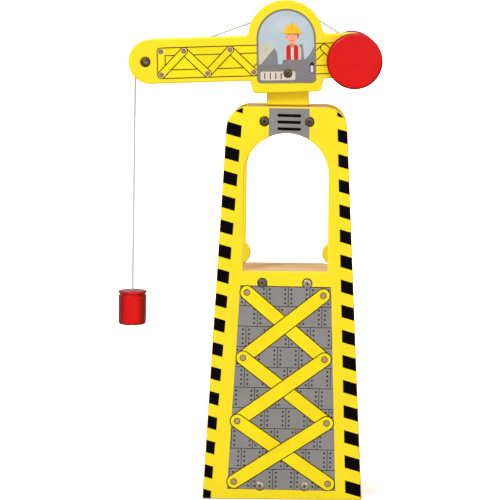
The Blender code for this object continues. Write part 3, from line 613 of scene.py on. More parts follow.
def dress(node, material, rounded=False):
    """Gives a carried-over CAD node its material."""
    obj = NODES[node]
    obj.data.materials.clear()
    obj.data.materials.append(material)
    if rounded:
        soften(obj)


# --------------------------------------------------------------------------------------- flat (x, z) shapes


def arc(centre, radius, start_deg, end_deg, steps):
    points = []
    for i in range(steps + 1):
        angle = math.radians(start_deg + (end_deg - start_deg) * i / steps)
        points.append((centre[0] + radius * math.cos(angle), centre[1] + radius * math.sin(angle)))
    return points


def disc(x, z, radius, steps=24):
    return arc((x, z), radius, 0, 360 - 360 / steps, steps - 1)


def ellipse(x, z, across, up, steps=24, start_deg=0, end_deg=None):
    end_deg = 360 - 360 / steps if end_deg is None else end_deg
    return [(x + across * px, z + up * pz) for px, pz in arc((0, 0), 1.0, start_deg, end_deg, steps - 1)]


def rectangle(left, bottom, right, top):
    return [(left, bottom), (right, bottom), (right, top), (left, top)]


def capsule(start, end, radius, steps=12):
    """A bar with round ends between two points."""
    along = math.degrees(math.atan2(end[1] - start[1], end[0] - start[0]))
    far_end = arc(end, radius, along - 90, along + 90, steps)
    return far_end + arc(start, radius, along + 90, along + 270, steps)


def rounded_rectangle(left, bottom, right, top, radius, steps=6):
    points = []
    for x, z, start in (
        (right - radius, bottom + radius, -90),
        (right - radius, top - radius, 0),
        (left + radius, top - radius, 90),
        (left + radius, bottom + radius, 180),
    ):
        points += arc((x, z), radius, start, start + 90, steps)
    return points


def clip(polygon, start, end):
    """The part of a polygon to the left of the line from start to end."""
    run_x, run_z = end[0] - start[0], end[1] - start[1]

    def side(point):
        return run_x * (point[1] - start[1]) - run_z * (point[0] - start[0])

    kept = []
    for one, other in zip(polygon, polygon[1:] + polygon[:1]):
        here, there = side(one), side(other)
        if here >= 0:
            kept.append(one)
        if (here >= 0) != (there >= 0):
            share = here / (here - there)
            kept.append((one[0] + share * (other[0] - one[0]), one[1] + share * (other[1] - one[1])))
    return kept


def clip_to(polygon, convex):
    """The part of a polygon inside a convex outline that runs anticlockwise."""
    for start, end in zip(convex, convex[1:] + convex[:1]):
        if polygon:
            polygon = clip(polygon, start, end)
    return polygon


def turned(polygon, degrees, centre=(0.0, 0.0)):
    c, s = math.cos(math.radians(degrees)), math.sin(math.radians(degrees))
    moved = []
    for x, z in polygon:
        dx, dz = x - centre[0], z - centre[1]
        moved.append((centre[0] + c * dx - s * dz, centre[1] + s * dx + c * dz))
    return moved


# -------------------------------------------------------------------------------------------------- tower


def millimetre_box(node):
    low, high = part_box(node)
    return low / MM, high / MM


def half_size(node):
    low, high = millimetre_box(node)
    return (high - low) / 2


def rod_profile(radius, half, chamfer):
    """A turned rod from axis to axis, with both rims chamfered."""
    side = [(radius, half - chamfer), (radius - chamfer, half), (0.0, half)]
    return [(r, -along) for r, along in reversed(side)] + side


def round_side(radius, low, high, rounding, steps):
    """The outer side of a turned disc, from its low end to its high one, with both rims rounded."""
    side = arc((radius - rounding, low + rounding), rounding, -90, 0, steps)
    return side + arc((radius - rounding, high - rounding), rounding, 0, 90, steps)


PANEL_LOW, PANEL_HIGH = millimetre_box("front_panel")
TOWER_HEIGHT = PANEL_HIGH.z
TOWER_HALF_WIDTH_FLOOR = PANEL_HIGH.x
SILL_Z = millimetre_box("shelf_board")[1].z


def tower_outline(inset=0.0):
    """A tapered panel whose two top corners are rounded, anticlockwise from the bottom left corner."""
    lean = math.atan2(TOWER_HALF_WIDTH_FLOOR - TOWER_HALF_WIDTH_TOP, TOWER_HEIGHT)
    radius = TOWER_CORNER_RADIUS
    centre_z = TOWER_HEIGHT - radius
    half = TOWER_HALF_WIDTH_FLOOR - math.tan(lean) * centre_z
    centre_x = half - radius / math.cos(lean)
    corner = arc((centre_x, centre_z), radius - inset, math.degrees(lean), 90, 24)
    foot = TOWER_HALF_WIDTH_FLOOR - inset
    return [(-foot, inset), (foot, inset)] + corner + [(-x, z) for x, z in reversed(corner)]


def screw_spots():
    spots = []
    for node in NODES:
        if node.startswith("panel_screw_front"):
            low, high = millimetre_box(node)
            spots.append(((low.x + high.x) / 2, (low.z + high.z) / 2))
    return spots


def panel_mesh(name, sill_z):
    opening = [(-ARCH_HALF_WIDTH, sill_z), (ARCH_HALF_WIDTH, sill_z)]
    opening += arc((0.0, ARCH_CENTRE_Z), ARCH_HALF_WIDTH, 0, 180, 72)
    holes = [opening] + [disc(*spot, SCREW_HOLE_RADIUS, 32) for spot in screw_spots()]
    return slab_mesh(name, tower_outline(), holes, PANEL_LOW.y, PANEL_HIGH.y, PANEL_ROUNDING)


def hazard_shapes():
    """Black stripes down both legs, all on one set of slanting lines."""
    board = tower_outline(0.5)
    shapes = []
    for side, (top_x, floor_x) in HAZARD_INNER.items():
        inner = [(top_x, TOWER_HEIGHT), (floor_x, 0.0)]
        sign = -1 if side == "left" else 1
        if sign < 0:
            inner.reverse()
        near, far = sign * HAZARD_NEAR_X, sign * HAZARD_FAR_X
        for k in range(HAZARD_COUNT):
            upper = HAZARD_TOP - k * HAZARD_PITCH
            lower = upper - HAZARD_BLACK
            band = ((near, upper), (far, upper), (far, lower), (near, lower))
            stripe = [(x, z - HAZARD_SLOPE * x) for x, z in band]
            stripe = clip_to(clip(stripe, *inner), board)
            if len(stripe) > 2:
                shapes.append((2, stripe))
    return shapes


def vent_shapes():
    top = TOWER_HEIGHT - 1.0
    reach = ARCH_HALF_WIDTH + PANEL_ROUNDING * 0.4
    first = math.degrees(math.acos(VENT_RIGHT_X / reach))
    last = math.degrees(math.acos(VENT_LEFT_X / reach))
    plate = [(VENT_RIGHT_X, top), (VENT_LEFT_X, top)]
    plate += arc((0.0, ARCH_CENTRE_Z), reach, last, first, 24)
    middle = (VENT_LEFT_X + VENT_RIGHT_X) / 2
    slots = []
    wide, high = VENT_SLOT_HALF_SIZE
    for z in VENT_SLOT_HEIGHTS:
        slot = rounded_rectangle(middle - wide, z - high, middle + wide, z + high, 0.9)
        slots.append((3, turned(slot, VENT_SLOT_TURN_DEG, (middle, z))))
    return [(1, plate)], slots


def sheet_half_width(z):
    share = (SHEET_TOP_Z - z) / (SHEET_TOP_Z - SHEET_BOTTOM_Z)
    return SHEET_HALF_WIDTH_TOP + share * (SHEET_HALF_WIDTH_BOTTOM - SHEET_HALF_WIDTH_TOP)


def sheet_shapes():
    """Riveted steel plates in staggered rows: the sheet, its seams, its rivets and the line along its top."""
    wide, narrow = SHEET_HALF_WIDTH_BOTTOM, SHEET_HALF_WIDTH_TOP
    sheet = [(-wide, SHEET_BOTTOM_Z), (wide, SHEET_BOTTOM_Z), (narrow, SHEET_TOP_Z), (-narrow, SHEET_TOP_Z)]
    pitch = (SHEET_TOP_Z - SHEET_BOTTOM_Z) / SHEET_ROWS
    seams, rivets = [], []
    for row in range(SHEET_ROWS + 1):
        z = SHEET_TOP_Z - row * pitch
        seams.append(clip_to(rectangle(-wide, z - SEAM_HALF_WIDTH, wide, z + SEAM_HALF_WIDTH), sheet))
    for row in range(SHEET_ROWS):
        top = SHEET_TOP_Z - row * pitch
        middle = top - pitch / 2
        stagger = SEAM_PITCH / 2 if row % 2 else 0.0
        if row == 0:
            stagger = SEAM_TOP_ROW_SHIFT
        for k in range(-4, 4):
            x = SEAM_FIRST_X + SEAM_DRIFT * row + stagger + k * SEAM_PITCH
            seam = rectangle(x - SEAM_HALF_WIDTH, top - pitch, x + SEAM_HALF_WIDTH, top)
            seams.append(clip_to(seam, sheet))
            for side in (-1, 1):
                for i in range(4):
                    spot = (x + side * RIVET_OFFSET, middle + (1.5 - i) * RIVET_SPACING)
                    if abs(spot[0]) < sheet_half_width(spot[1]) - 1.2:
                        rivets.append(disc(*spot, RIVET_RADIUS, 10))
    centre = (0.0, (SHEET_TOP_Z + SHEET_BOTTOM_Z) / 2)
    seams = [(2, turned(seam, PRINT_TURN_DEG, centre)) for seam in seams if len(seam) > 2]
    rivets = [(2, turned(rivet, PRINT_TURN_DEG, centre)) for rivet in rivets]
    edge = rectangle(-narrow, SHEET_TOP_Z - SHEET_EDGE_LINE, narrow, SHEET_TOP_Z)
    edge = [(3, turned(edge, PRINT_TURN_DEG, centre))]
    return [(1, turned(sheet, PRINT_TURN_DEG, centre))], seams, rivets, edge


def bar_shapes(bars, radius, first_level):
    """Round-ended bars with a thin outline, each over the one before it: (outlines, faces)."""
    outlines, faces = [], []
    for i, (start, end) in enumerate(bars):
        level = first_level + 2 * i
        outlines.append((level, capsule(start, end, radius)))
        faces.append((level + 1, capsule(start, end, radius - INK_LINE)))
    return outlines, faces


def lattice_shapes():
    bars = []
    for i in range(3):
        bars.append((LATTICE_LEFT[i], LATTICE_RIGHT[i + 1]))
        bars.append((LATTICE_RIGHT[i], LATTICE_LEFT[i + 1]))
    outlines, faces = bar_shapes(bars, LATTICE_BAR_RADIUS, LATTICE_FIRST_LEVEL)
    top = LATTICE_FIRST_LEVEL + 2 * len(bars)
    spots = LATTICE_LEFT + LATTICE_RIGHT
    rims = [(top, disc(*spot, LATTICE_PIN_RIM_RADIUS)) for spot in spots]
    pins = [(top + 1, disc(*spot, LATTICE_PIN_RADIUS)) for spot in spots]
    return outlines, faces, rims, pins


def printed(name, shapes, face_y, ink, body, matrix=None):
    """A print on the front board and its mirror image on the rear one."""
    front = ink_mesh(f"{name}_front", shapes, face_y)
    for mesh in (front, mirrored(front, f"{name}_rear")):
        piece(mesh.name, mesh, ink, body, slot="yellow_paint", matrix=matrix)


def tower(paint, shaded_lug_paint, wood, inks):
    mesh = panel_mesh("tower_panel_front", SILL_Z)
    even_normals(piece("tower_panel_front", mesh, paint, "tower", ["front_panel"], "yellow_paint"))
    mesh = panel_mesh("tower_panel_rear", SILL_Z - REAR_SILL_DROP)
    rear = mirrored(mesh, "tower_panel_rear")
    even_normals(piece("tower_panel_rear", rear, paint, "tower", ["rear_panel"], "yellow_paint"))
    plate, slots = vent_shapes()
    sheet, seams, rivets, edge = sheet_shapes()
    outlines, faces, rims, pins = lattice_shapes()
    # Painted shade: a dark printed disc under each screw head, a little wider than it, for the shade in the
    # screw's hole.
    shadow_discs = [(4, disc(*spot, SCREW_SHADOW_RADIUS)) for spot in screw_spots()]
    for name, ink, shapes in (
        ("hazard", "black", hazard_shapes()),
        ("vent", "grey", plate),
        ("vent_slots", "black", slots),
        ("plates", "grey", sheet),
        ("seams", "dark", seams),
        ("rivets", "dark", rivets),
        ("lattice_outline", "brown", edge + outlines),
        ("lattice", "yellow", faces),
        ("pin_rims", "brown", rims),
        ("pins", "pin", pins),
        ("screw_shadows", "dark", shadow_discs),
    ):
        printed(f"print_{name}", shapes, PANEL_LOW.y, inks[ink], "tower")
    lugs(shaded_lug_paint)
    for node in ("base_block", "shelf_board", "top_block"):
        dress(node, wood, rounded=True)


def lugs(paint):
    # paint is the shaded copy of the yellow paint: painted shade.
    half = half_size("shelf_lug_left")
    profile = [(0.0, -half.y)] + round_side(half.z, -half.y, half.y, 1.5, 6) + [(0.0, half.y)]
    mesh = turned_mesh("shelf_lug", profile, sides=72)
    for side in ("left", "right"):
        node = f"shelf_lug_{side}"
        low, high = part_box(node)
        middle = Matrix.Translation((low + high) / 2)
        lug = piece(f"shelf_lug_round_{side}", mesh, paint, "tower", [node], "yellow_paint", middle)
        even_normals(lug)


# ------------------------------------------------------------------------------------------------- screws


def screw_mesh(name, length):
    """A raised countersunk screw along +Y with a cross recess. The board's face is at y = 0."""
    profile = [(0.0, -0.95), (1.2, -0.92), (2.3, -0.82), (3.2, -0.66), (3.75, -0.50), (3.95, -0.36)]
    profile += [(4.0, -0.2), (3.9, 0.1), (1.75, 2.6)]
    along = 3.4
    while along < length - 4.0:
        profile += [(1.3, along), (1.75, along + 0.45)]
        along += 0.9
    profile += [(1.3, along), (0.0, length)]
    blank = piece(f"{name}_blank", turned_mesh(f"{name}_blank", profile, sides=40), None, None)
    bm = bmesh.new()
    for arm_x, arm_z in ((2.2, 0.48), (0.48, 2.2)):
        mouth = rectangle(-arm_x, -arm_z, arm_x, arm_z)
        floor = [(x * 0.55, z * 0.55) for x, z in mouth]
        add_solid(bm, at_depth(mouth, -1.4), at_depth(floor, 1.1))
    cross = piece(f"{name}_cross", finish_mesh(f"{name}_cross", bm), None, None)
    mesh = cut(blank, cross, arms_cross=True)
    bpy.data.objects.remove(blank)
    mesh.name = name
    mesh.materials.clear()
    return smooth(mesh, 30.0)


def all_screws(bright, dull, bronze):
    meshes = {}
    bodies = frame["record"]["behaviour"]["bodies"]
    order = sorted(node for node in NODES if "screw" in node)
    for index, node in enumerate(order):
        low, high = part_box(node)
        length = round((high.y - low.y) / MM, 1)
        if node.startswith("panel_screw") and "top" not in node:
            metal = dull if "shelf_left" in node else bright
            slot = "bright_screw"
        else:
            metal, slot = bronze, "bronzed_screw"
        key = (length, metal.name)
        if key not in meshes:
            meshes[key] = screw_mesh(f"screw_{metal.name}_{length:.0f}", length)
        front = low.y < 0
        centre = (low + high) / 2
        centre.y = low.y if front else high.y
        if node.startswith("pivot"):
            centre.y += (-1 if front else 1) * PRINT_THICKNESS * MM
        turn = Matrix.Rotation(math.radians(17 + 53 * index), 4, "Y")
        facing = Matrix.Identity(4) if front else Matrix.Rotation(math.pi, 4, "Z")
        body = next(name for name, members in bodies.items() if node in members)
        matrix = Matrix.Translation(centre) @ facing @ turn
        name = node.replace("screw", "cross_screw")
        piece(name, meshes[key], metal, body, [node], slot, matrix)


# ---------------------------------------------------------------------------------------------------- jib

TILT = math.radians(JIB_TILT_DEG)
PIVOT = Vector(JOINTS["jib_rock"]["pos_m"])
JIB_FRAME = Matrix.Translation(PIVOT) @ Matrix.Rotation(-TILT, 4, "Y")


def jib_outline():
    """An arm with a round tip at each end, and a cab in its middle with a round roof and a tapered skirt."""
    arm_top = ARM_CENTRE_Z + ARM_HALF_HEIGHT
    arm_bottom = ARM_CENTRE_Z - ARM_HALF_HEIGHT
    tip = arc((ARM_TIP_X + ARM_HALF_HEIGHT, ARM_CENTRE_Z), ARM_HALF_HEIGHT, 90, 270, 48)
    back = arc((ARM_BACK_X - ARM_HALF_HEIGHT, ARM_CENTRE_Z), ARM_HALF_HEIGHT, -90, 90, 48)
    foot = (CAB_SKIRT_HALF_WIDTH_BOTTOM - CAB_BOTTOM_CORNER, CAB_BOTTOM_Z + CAB_BOTTOM_CORNER)
    skirt = arc(foot, CAB_BOTTOM_CORNER, -90, -6, 10) + [(CAB_SKIRT_HALF_WIDTH_TOP, arm_bottom)]
    fillet_z = arm_top + CAB_FILLET
    rise = fillet_z - CAB_ARCH_CENTRE_Z
    fillet_x = math.sqrt((CAB_ARCH_RADIUS + CAB_FILLET) ** 2 - rise**2)
    touch = math.degrees(math.atan2(rise, fillet_x))
    fillet = arc((fillet_x, fillet_z), CAB_FILLET, 270, 180 + touch, 10)
    roof = arc((0.0, CAB_ARCH_CENTRE_Z), CAB_ARCH_RADIUS, touch, 180 - touch, 64)
    above = fillet + roof[1:-1] + [(-x, z) for x, z in reversed(fillet)]
    below = [(-x, z) for x, z in reversed(skirt)] + skirt
    moved_below = [(CAB_CENTRE_X + x, z) for x, z in below]
    moved_above = [(CAB_CENTRE_X + x, z) for x, z in above]
    return tip + moved_below + back + moved_above


def to_jib(point):
    """A point of the row frame, in metres, as (x', z') of the jib's frame in millimetres."""
    local = JIB_FRAME.inverted() @ point
    return local.x / MM, local.z / MM


def truss_shapes():
    """The arm's frame and its zigzag of pinned bars: (outlines, faces, pin halos, pins)."""
    left, right, low, high = TRUSS_LEFT_X, TRUSS_RIGHT_X, TRUSS_BOTTOM_Z, TRUSS_TOP_Z
    line, band = INK_LINE, TRUSS_BAND
    outlines = [(1, rounded_rectangle(left, low, right, high, 3.6))]
    faces = [(2, rounded_rectangle(left + line, low + line, right - line, high - line, 3.1))]
    inner = (left + band, low + band + 0.5, right - 1.0, high - band)
    outlines.append((3, rectangle(*inner)))
    faces.append((4, rectangle(inner[0] + line, inner[1] + line, inner[2] - line, inner[3] - line)))
    nodes = []
    for k in range(7):
        z = TRUSS_NODE_HIGH_Z if k % 2 else TRUSS_NODE_LOW_Z
        nodes.append((TRUSS_FIRST_NODE_X + k * TRUSS_NODE_PITCH, z))
    bars = [(nodes[6], TRUSS_LAST_BAR[0])]
    bars += [(nodes[k], nodes[k + 1]) for k in reversed(range(6))] + [TRUSS_LAST_BAR]
    bar_outlines, bar_faces = bar_shapes(bars, TRUSS_BAR_RADIUS, TRUSS_FIRST_BAR_LEVEL)
    top = TRUSS_FIRST_BAR_LEVEL + 2 * len(bars)
    spots = nodes + [(nodes[0][0], TRUSS_NODE_HIGH_Z)]
    halos = [(top, disc(*spot, TRUSS_HALO_RADIUS)) for spot in spots]
    pins = [(top + 1, disc(*spot, TRUSS_PIN_RADIUS)) for spot in spots]
    return outlines + bar_outlines, faces + bar_faces, halos, pins


def window_outline(inset=0.0):
    """The cab window: a round arch on a box with small lower corners, anticlockwise."""
    half = WINDOW_HALF_WIDTH - inset
    bottom = WINDOW_BOTTOM_Z + inset
    corner = 4.2 - inset
    shape = arc((half - corner, bottom + corner), corner, -90, 0, 8)
    shape += arc((0.0, WINDOW_ARCH_Z), half, 0, 180, 48)
    shape += arc((corner - half, bottom + corner), corner, 180, 270, 8)
    return [(WINDOW_CENTRE_X + x, z) for x, z in shape]


def window_scene():
    """The view in the cab window, as ink colour and outline, from the back to the front, then a dark disc of
    painted shade under the pivot screw.
    """
    yield "frame", window_outline()
    yield "sky", window_outline(WINDOW_FRAME)
    yield "haze", ellipse(4.0, 44.0, 14.0, 7.5)
    yield "beige", [(-27.0, 6.0), (-27.0, 22.0), (-23.6, 27.0), (-15.0, 27.4), (-9.5, 16.0), (-9.5, 6.0)]
    yield "stone", [(-26.0, 6.0), (-21.0, 12.5), (-11.9, 23.2), (-9.6, 18.5), (-8.2, 6.0)]
    yield "water", [(-8.9, 6.0), (-9.2, 20.6), (-6.6, 22.5), (-4.6, 6.0)]
    yield "stone", [(13.0, 6.0), (15.2, 12.5), (19.6, 16.6), (24.0, 24.0), (25.5, 29.5), (26.2, 6.0)]
    yield "stone", [(9.0, 6.0), (10.4, 26.0), (13.6, 26.6), (15.8, 6.0)]
    yield from operator()
    console_left = [(-28.0, -10.0), (-28.0, 8.4), (-5.0, 8.4), (-4.4, 12.4)]
    yield "console", [(28.0, -10.0), *console_left, (15.4, 12.4), (28.0, 12.8)]
    yield "cream", rounded_rectangle(-24.9, -6.1, 6.8, 1.8, 1.6)
    for x in (-20.9, -15.9, -10.9, -6.1):
        yield "dark", rectangle(x - 0.45, -5.0, x + 0.45, 0.7)
    yield "dark", capsule((21.9, 1.6), (21.9, 8.0), 2.0)
    yield "lever", capsule((21.9, 1.7), (21.9, 5.8), 1.3)
    # Painted shade: a dark disc a little wider than the pivot screw's head, for the shade in its hole.
    yield "dark", disc(0.0, 0.0, SCREW_SHADOW_RADIUS)


def operator():
    """A plain crane operator: a calm, evenly proportioned face under a hard hat, and a work vest."""
    x = 4.2
    yield "shirt", rounded_rectangle(x - 8.0, 6.0, x + 8.0, 25.6, 4.2)
    yield "vest", rounded_rectangle(x - 5.4, 6.0, x + 5.4, 26.0, 2.6)
    yield "cream", rectangle(x - 1.3, 6.0, x + 1.3, 24.4)
    yield "skin_shade", rounded_rectangle(x - 2.0, 23.4, x + 2.0, 29.0, 1.2)
    yield "skin_shade", ellipse(x - 4.9, 32.9, 1.0, 1.6, 16)
    yield "skin_shade", ellipse(x + 4.9, 32.9, 1.0, 1.6, 16)
    yield "hair", ellipse(x + 3.6, 34.8, 2.4, 3.8, 20)
    yield "skin", ellipse(x, 33.0, 4.9, 6.2, 36)
    yield "hair", rounded_rectangle(x - 5.0, 35.4, x + 5.0, 38.4, 0.8)
    for side in (-1, 1):
        yield "hair", capsule((x + side * 2.9, 34.6), (x + side * 1.5, 34.9), 0.2, 6)
        yield "white", ellipse(x + side * 2.1, 33.5, 0.85, 0.55, 16)
        yield "dark", disc(x + side * 2.1, 33.5, 0.42, 14)
        yield "lip", capsule((x + side * 1.4, 29.8), (x, 29.45), 0.26, 6)
    yield "skin_shade", capsule((x, 32.8), (x, 31.5), 0.32, 6)
    yield "hat", ellipse(x, 37.0, 7.3, 7.9, 28, 0, 180)
    yield "hat_shade", rounded_rectangle(x - 0.9, 38.2, x + 0.9, 45.5, 0.8)
    yield "hat", rounded_rectangle(x - 0.45, 38.2, x + 0.45, 45.2, 0.4)
    yield "hat_shade", capsule((x - 7.8, 36.8), (x + 7.8, 36.8), 0.95)
    yield "hat", capsule((x - 7.8, 37.1), (x + 7.8, 37.1), 0.75)


def window(inks, face_y):
    """One printed piece for each ink of the window, with every shape kept inside the frame's opening."""
    glass = window_outline(WINDOW_FRAME)
    layers = {}
    for level, (ink, outline) in enumerate(window_scene(), WINDOW_FIRST_LEVEL):
        shape = outline if ink == "frame" else clip_to(outline, glass)
        if len(shape) > 2:
            layers.setdefault(ink, []).append((level, turned(shape, WINDOW_TURN_DEG)))
    for ink, shapes in layers.items():
        printed(f"print_cab_{ink}", shapes, face_y, inks[ink], "jib", JIB_FRAME)


def jib(paint, lit_neck_paint, wood, inks):
    low, high = millimetre_box("jib_front_plate")
    tip_low, tip_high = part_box("tip_screw_front")
    tip_hole = to_jib((tip_low + tip_high) / 2)
    holes = [disc(0.0, 0.0, SCREW_HOLE_RADIUS, 32), disc(*tip_hole, SCREW_HOLE_RADIUS, 32)]
    holes.append(disc(*WINCH, AXLE_HOLE_RADIUS, 40))
    mesh = slab_mesh("jib_plate_front", jib_outline(), holes, low.y, high.y, JIB_PLATE_ROUNDING)
    front = piece("jib_plate_front", mesh, paint, "jib", ["jib_front_plate"], "yellow_paint", JIB_FRAME)
    even_normals(front)
    rear = mirrored(mesh, "jib_plate_rear")
    even_normals(piece("jib_plate_rear", rear, paint, "jib", ["jib_rear_plate"], "yellow_paint", JIB_FRAME))
    outlines, faces, halos, pins = truss_shapes()
    for name, ink, shapes in (
        ("truss_outline", "brown", outlines),
        ("truss", "yellow", faces),
        ("truss_halos", "halo", halos),
        ("truss_pins", "truss_pin", pins),
    ):
        printed(f"print_{name}", shapes, low.y, inks[ink], "jib", JIB_FRAME)
    window(inks, low.y)
    for node in ("tip_block", "arm_spacer", "cab_spacer"):
        dress(node, wood, rounded=True)
    neck(lit_neck_paint)


def neck(paint):
    """The neck block, reaching down round its thrust washer, so that only a thin gap shows over the tower."""
    washer_low, washer_high = millimetre_box("thrust_washer")
    floor = millimetre_box("neck_block")[0].z
    drop = floor - washer_low.z - NECK_CLEARANCE
    bm = bmesh.new()
    bm.from_mesh(NODES["neck_block"].data)
    for vert in bm.verts:
        if vert.co.z < (floor + NECK_CHAMFER) * MM:
            vert.co.z -= drop * MM
    mesh = finish_mesh("neck_block_painted", bm)
    # paint is the brighter copy of the yellow paint: painted light.
    block = piece("neck_block_painted", mesh, paint, "neck", ["neck_block"], "yellow_paint")
    radius = (washer_high.x - washer_low.x) / 2 + NECK_CLEARANCE
    profile = [(0.0, floor - 5.0), (radius, floor - 5.0), (radius, washer_high.z), (0.0, washer_high.z)]
    recess = piece("neck_recess", turned_mesh("neck_recess", profile, axis="Z"), None, None)
    block.data = cut(block, recess)
    soften(block)


# ------------------------------------------------------------------------------------- winch, rope and block


def node_matrix(node):
    """A place at the middle of a node's box, level with the jib."""
    low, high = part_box(node)
    return Matrix.Translation((low + high) / 2) @ Matrix.Rotation(-TILT, 4, "Y")


def knob_profile(radius, half):
    """From the inner face outwards, along +Y: a thick disc with rounded rims and a blind bore."""
    bore_end = KNOB_BORE_DEPTH - half
    profile = [(0.0, bore_end), (AXLE_BORE_RADIUS, bore_end), (AXLE_BORE_RADIUS, -half)]
    return profile + round_side(radius, -half, half, KNOB_ROUNDING, 8) + [(0.0, half)]


def winch(red, wood, rope):
    """The axle sits loose in its holes, so that its rear end stands a little higher and nearer the cab."""
    lean = Vector((0.0, 1.0, 0.0)).rotation_difference(Vector((-AXLE_LEAN, 1.0, AXLE_LEAN)))
    centre = node_matrix("winch_axle").translation
    loose = Matrix.Translation(centre) @ lean.to_matrix().to_4x4() @ Matrix.Translation(-centre)
    half = half_size("winch_knob_front")
    mesh = turned_mesh("knob", knob_profile(half.x, half.y), sides=128)
    for side, turn in (("front", math.pi), ("rear", 0.0)):
        node = f"winch_knob_{side}"
        matrix = loose @ node_matrix(node) @ Matrix.Rotation(turn, 4, "Z")
        even_normals(piece(f"knob_{side}", mesh, red, "winch", [node], "red_paint", matrix))
    mesh = turned_mesh("axle", rod_profile(AXLE_RADIUS, half_size("winch_axle").y, 0.5), sides=48)
    piece("axle", mesh, wood["Y"], "winch", ["winch_axle"], "bare_wood", loose @ node_matrix("winch_axle"))
    half = half_size("rope_drum")
    flange, inner = half.x, half.y - DRUM_FLANGE_THICKNESS
    side = [(DRUM_CORE_RADIUS, inner), (flange - 0.4, inner), (flange, inner + 0.4), (flange, half.y - 0.4)]
    side += [(flange - 0.4, half.y), (AXLE_BORE_RADIUS, half.y)]
    mesh = turned_mesh("drum", [(r, -y) for r, y in reversed(side)] + side, sides=72)
    piece("drum", mesh, wood["Y"], "winch", ["rope_drum"], "bare_wood", node_matrix("rope_drum"))
    mesh = rope_mesh("rope_coil", coil_path())
    piece("rope_coil", mesh, rope, "winch", ["rope_wrap"], "rope", JIB_FRAME)


def coil_path():
    """Two layers of turns round the drum, which end where the rope leaves it for the guide roller."""
    leave = over_tangent(WINCH, DRUM_ROPE_RADIUS, GUIDE, GUIDE_ROPE_RADIUS)
    half = DRUM_WOUND_HALF_LENGTH
    lower_turns = 2 * half / COIL_PITCH
    upper_turns = half / COIL_PITCH
    total = lower_turns + upper_turns
    steps = int(total * 2 * math.pi * DRUM_ROPE_RADIUS / (ROPE_LAY / 6))
    lower_radius = DRUM_CORE_RADIUS + ROPE_RADIUS
    points = []
    for i in range(steps + 1):
        turns = total * i / steps
        angle = math.radians(leave) - 2 * math.pi * (total - turns)
        climb = min(1.0, max(0.0, (turns - lower_turns + 0.5) * 1.5))
        radius = lower_radius + climb * (DRUM_ROPE_RADIUS - lower_radius)
        y = -half + turns * COIL_PITCH if turns < lower_turns else half - (turns - lower_turns) * COIL_PITCH
        across = Vector((math.cos(angle), 0.0, math.sin(angle)))
        points.append((Vector((WINCH[0], y, WINCH[1])) + radius * across, across))
    return points


def over_tangent(start, start_radius, end, end_radius):
    """The angle, in degrees, of the touching points of a rope that runs over the tops of two rollers."""
    run_x, run_z = end[0] - start[0], end[1] - start[1]
    along = math.degrees(math.atan2(run_z, run_x))
    lean = math.degrees(math.acos((start_radius - end_radius) / math.hypot(run_x, run_z)))
    return (along - lean) % 360


def even_path(corners):
    """Points at rope-ring spacing along a line of (x, z) corners, each with its direction across."""
    spacing = ROPE_LAY / ROPE_RINGS_PER_LAY
    lengths = [0.0]
    for one, other in zip(corners, corners[1:]):
        lengths.append(lengths[-1] + math.hypot(other[0] - one[0], other[1] - one[1]))
    count = max(2, round(lengths[-1] / spacing))
    spots, part = [], 0
    for i in range(count + 1):
        run = lengths[-1] * i / count
        while part < len(corners) - 2 and lengths[part + 1] < run:
            part += 1
        share = (run - lengths[part]) / (lengths[part + 1] - lengths[part])
        (x, z), (next_x, next_z) = corners[part], corners[part + 1]
        spots.append(Vector((x + share * (next_x - x), 0.0, z + share * (next_z - z))))
    path = []
    for i, spot in enumerate(spots):
        ahead = (spots[min(i + 1, count)] - spots[max(i - 1, 0)]).normalized()
        path.append((spot, Vector((-ahead.z, 0.0, ahead.x))))
    return path


def ropes(rope):
    """The rope over the jib, and its plumb part down to the block."""
    first = over_tangent(WINCH, DRUM_ROPE_RADIUS, GUIDE, GUIDE_ROPE_RADIUS)
    second = over_tangent(GUIDE, GUIDE_ROPE_RADIUS, TIP_BEND, TIP_BEND_RADIUS)
    corners = arc(WINCH, DRUM_ROPE_RADIUS, first - 1, first, 1)
    corners += arc(GUIDE, GUIDE_ROPE_RADIUS, first, second, 16)
    corners += arc(TIP_BEND, TIP_BEND_RADIUS, second, 180 - JIB_TILT_DEG, 12)
    mesh = rope_mesh("rope_over_jib", even_path(corners))
    piece("rope_over_jib", mesh, rope, "jib", ["rope_upper"], "rope", JIB_FRAME)
    low, high = millimetre_box("rope_drop")
    x = (low.x + high.x) / 2
    mesh = rope_mesh("rope_plumb", even_path([(x, high.z + 0.3), (x, low.z)]))
    plumb = piece("rope_plumb", mesh, rope, None, ["rope_drop"], "rope")
    top, bottom = (x * MM, 0.0, high.z * MM), (x * MM, 0.0, low.z * MM)
    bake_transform(plumb)
    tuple(top)
    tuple(bottom)


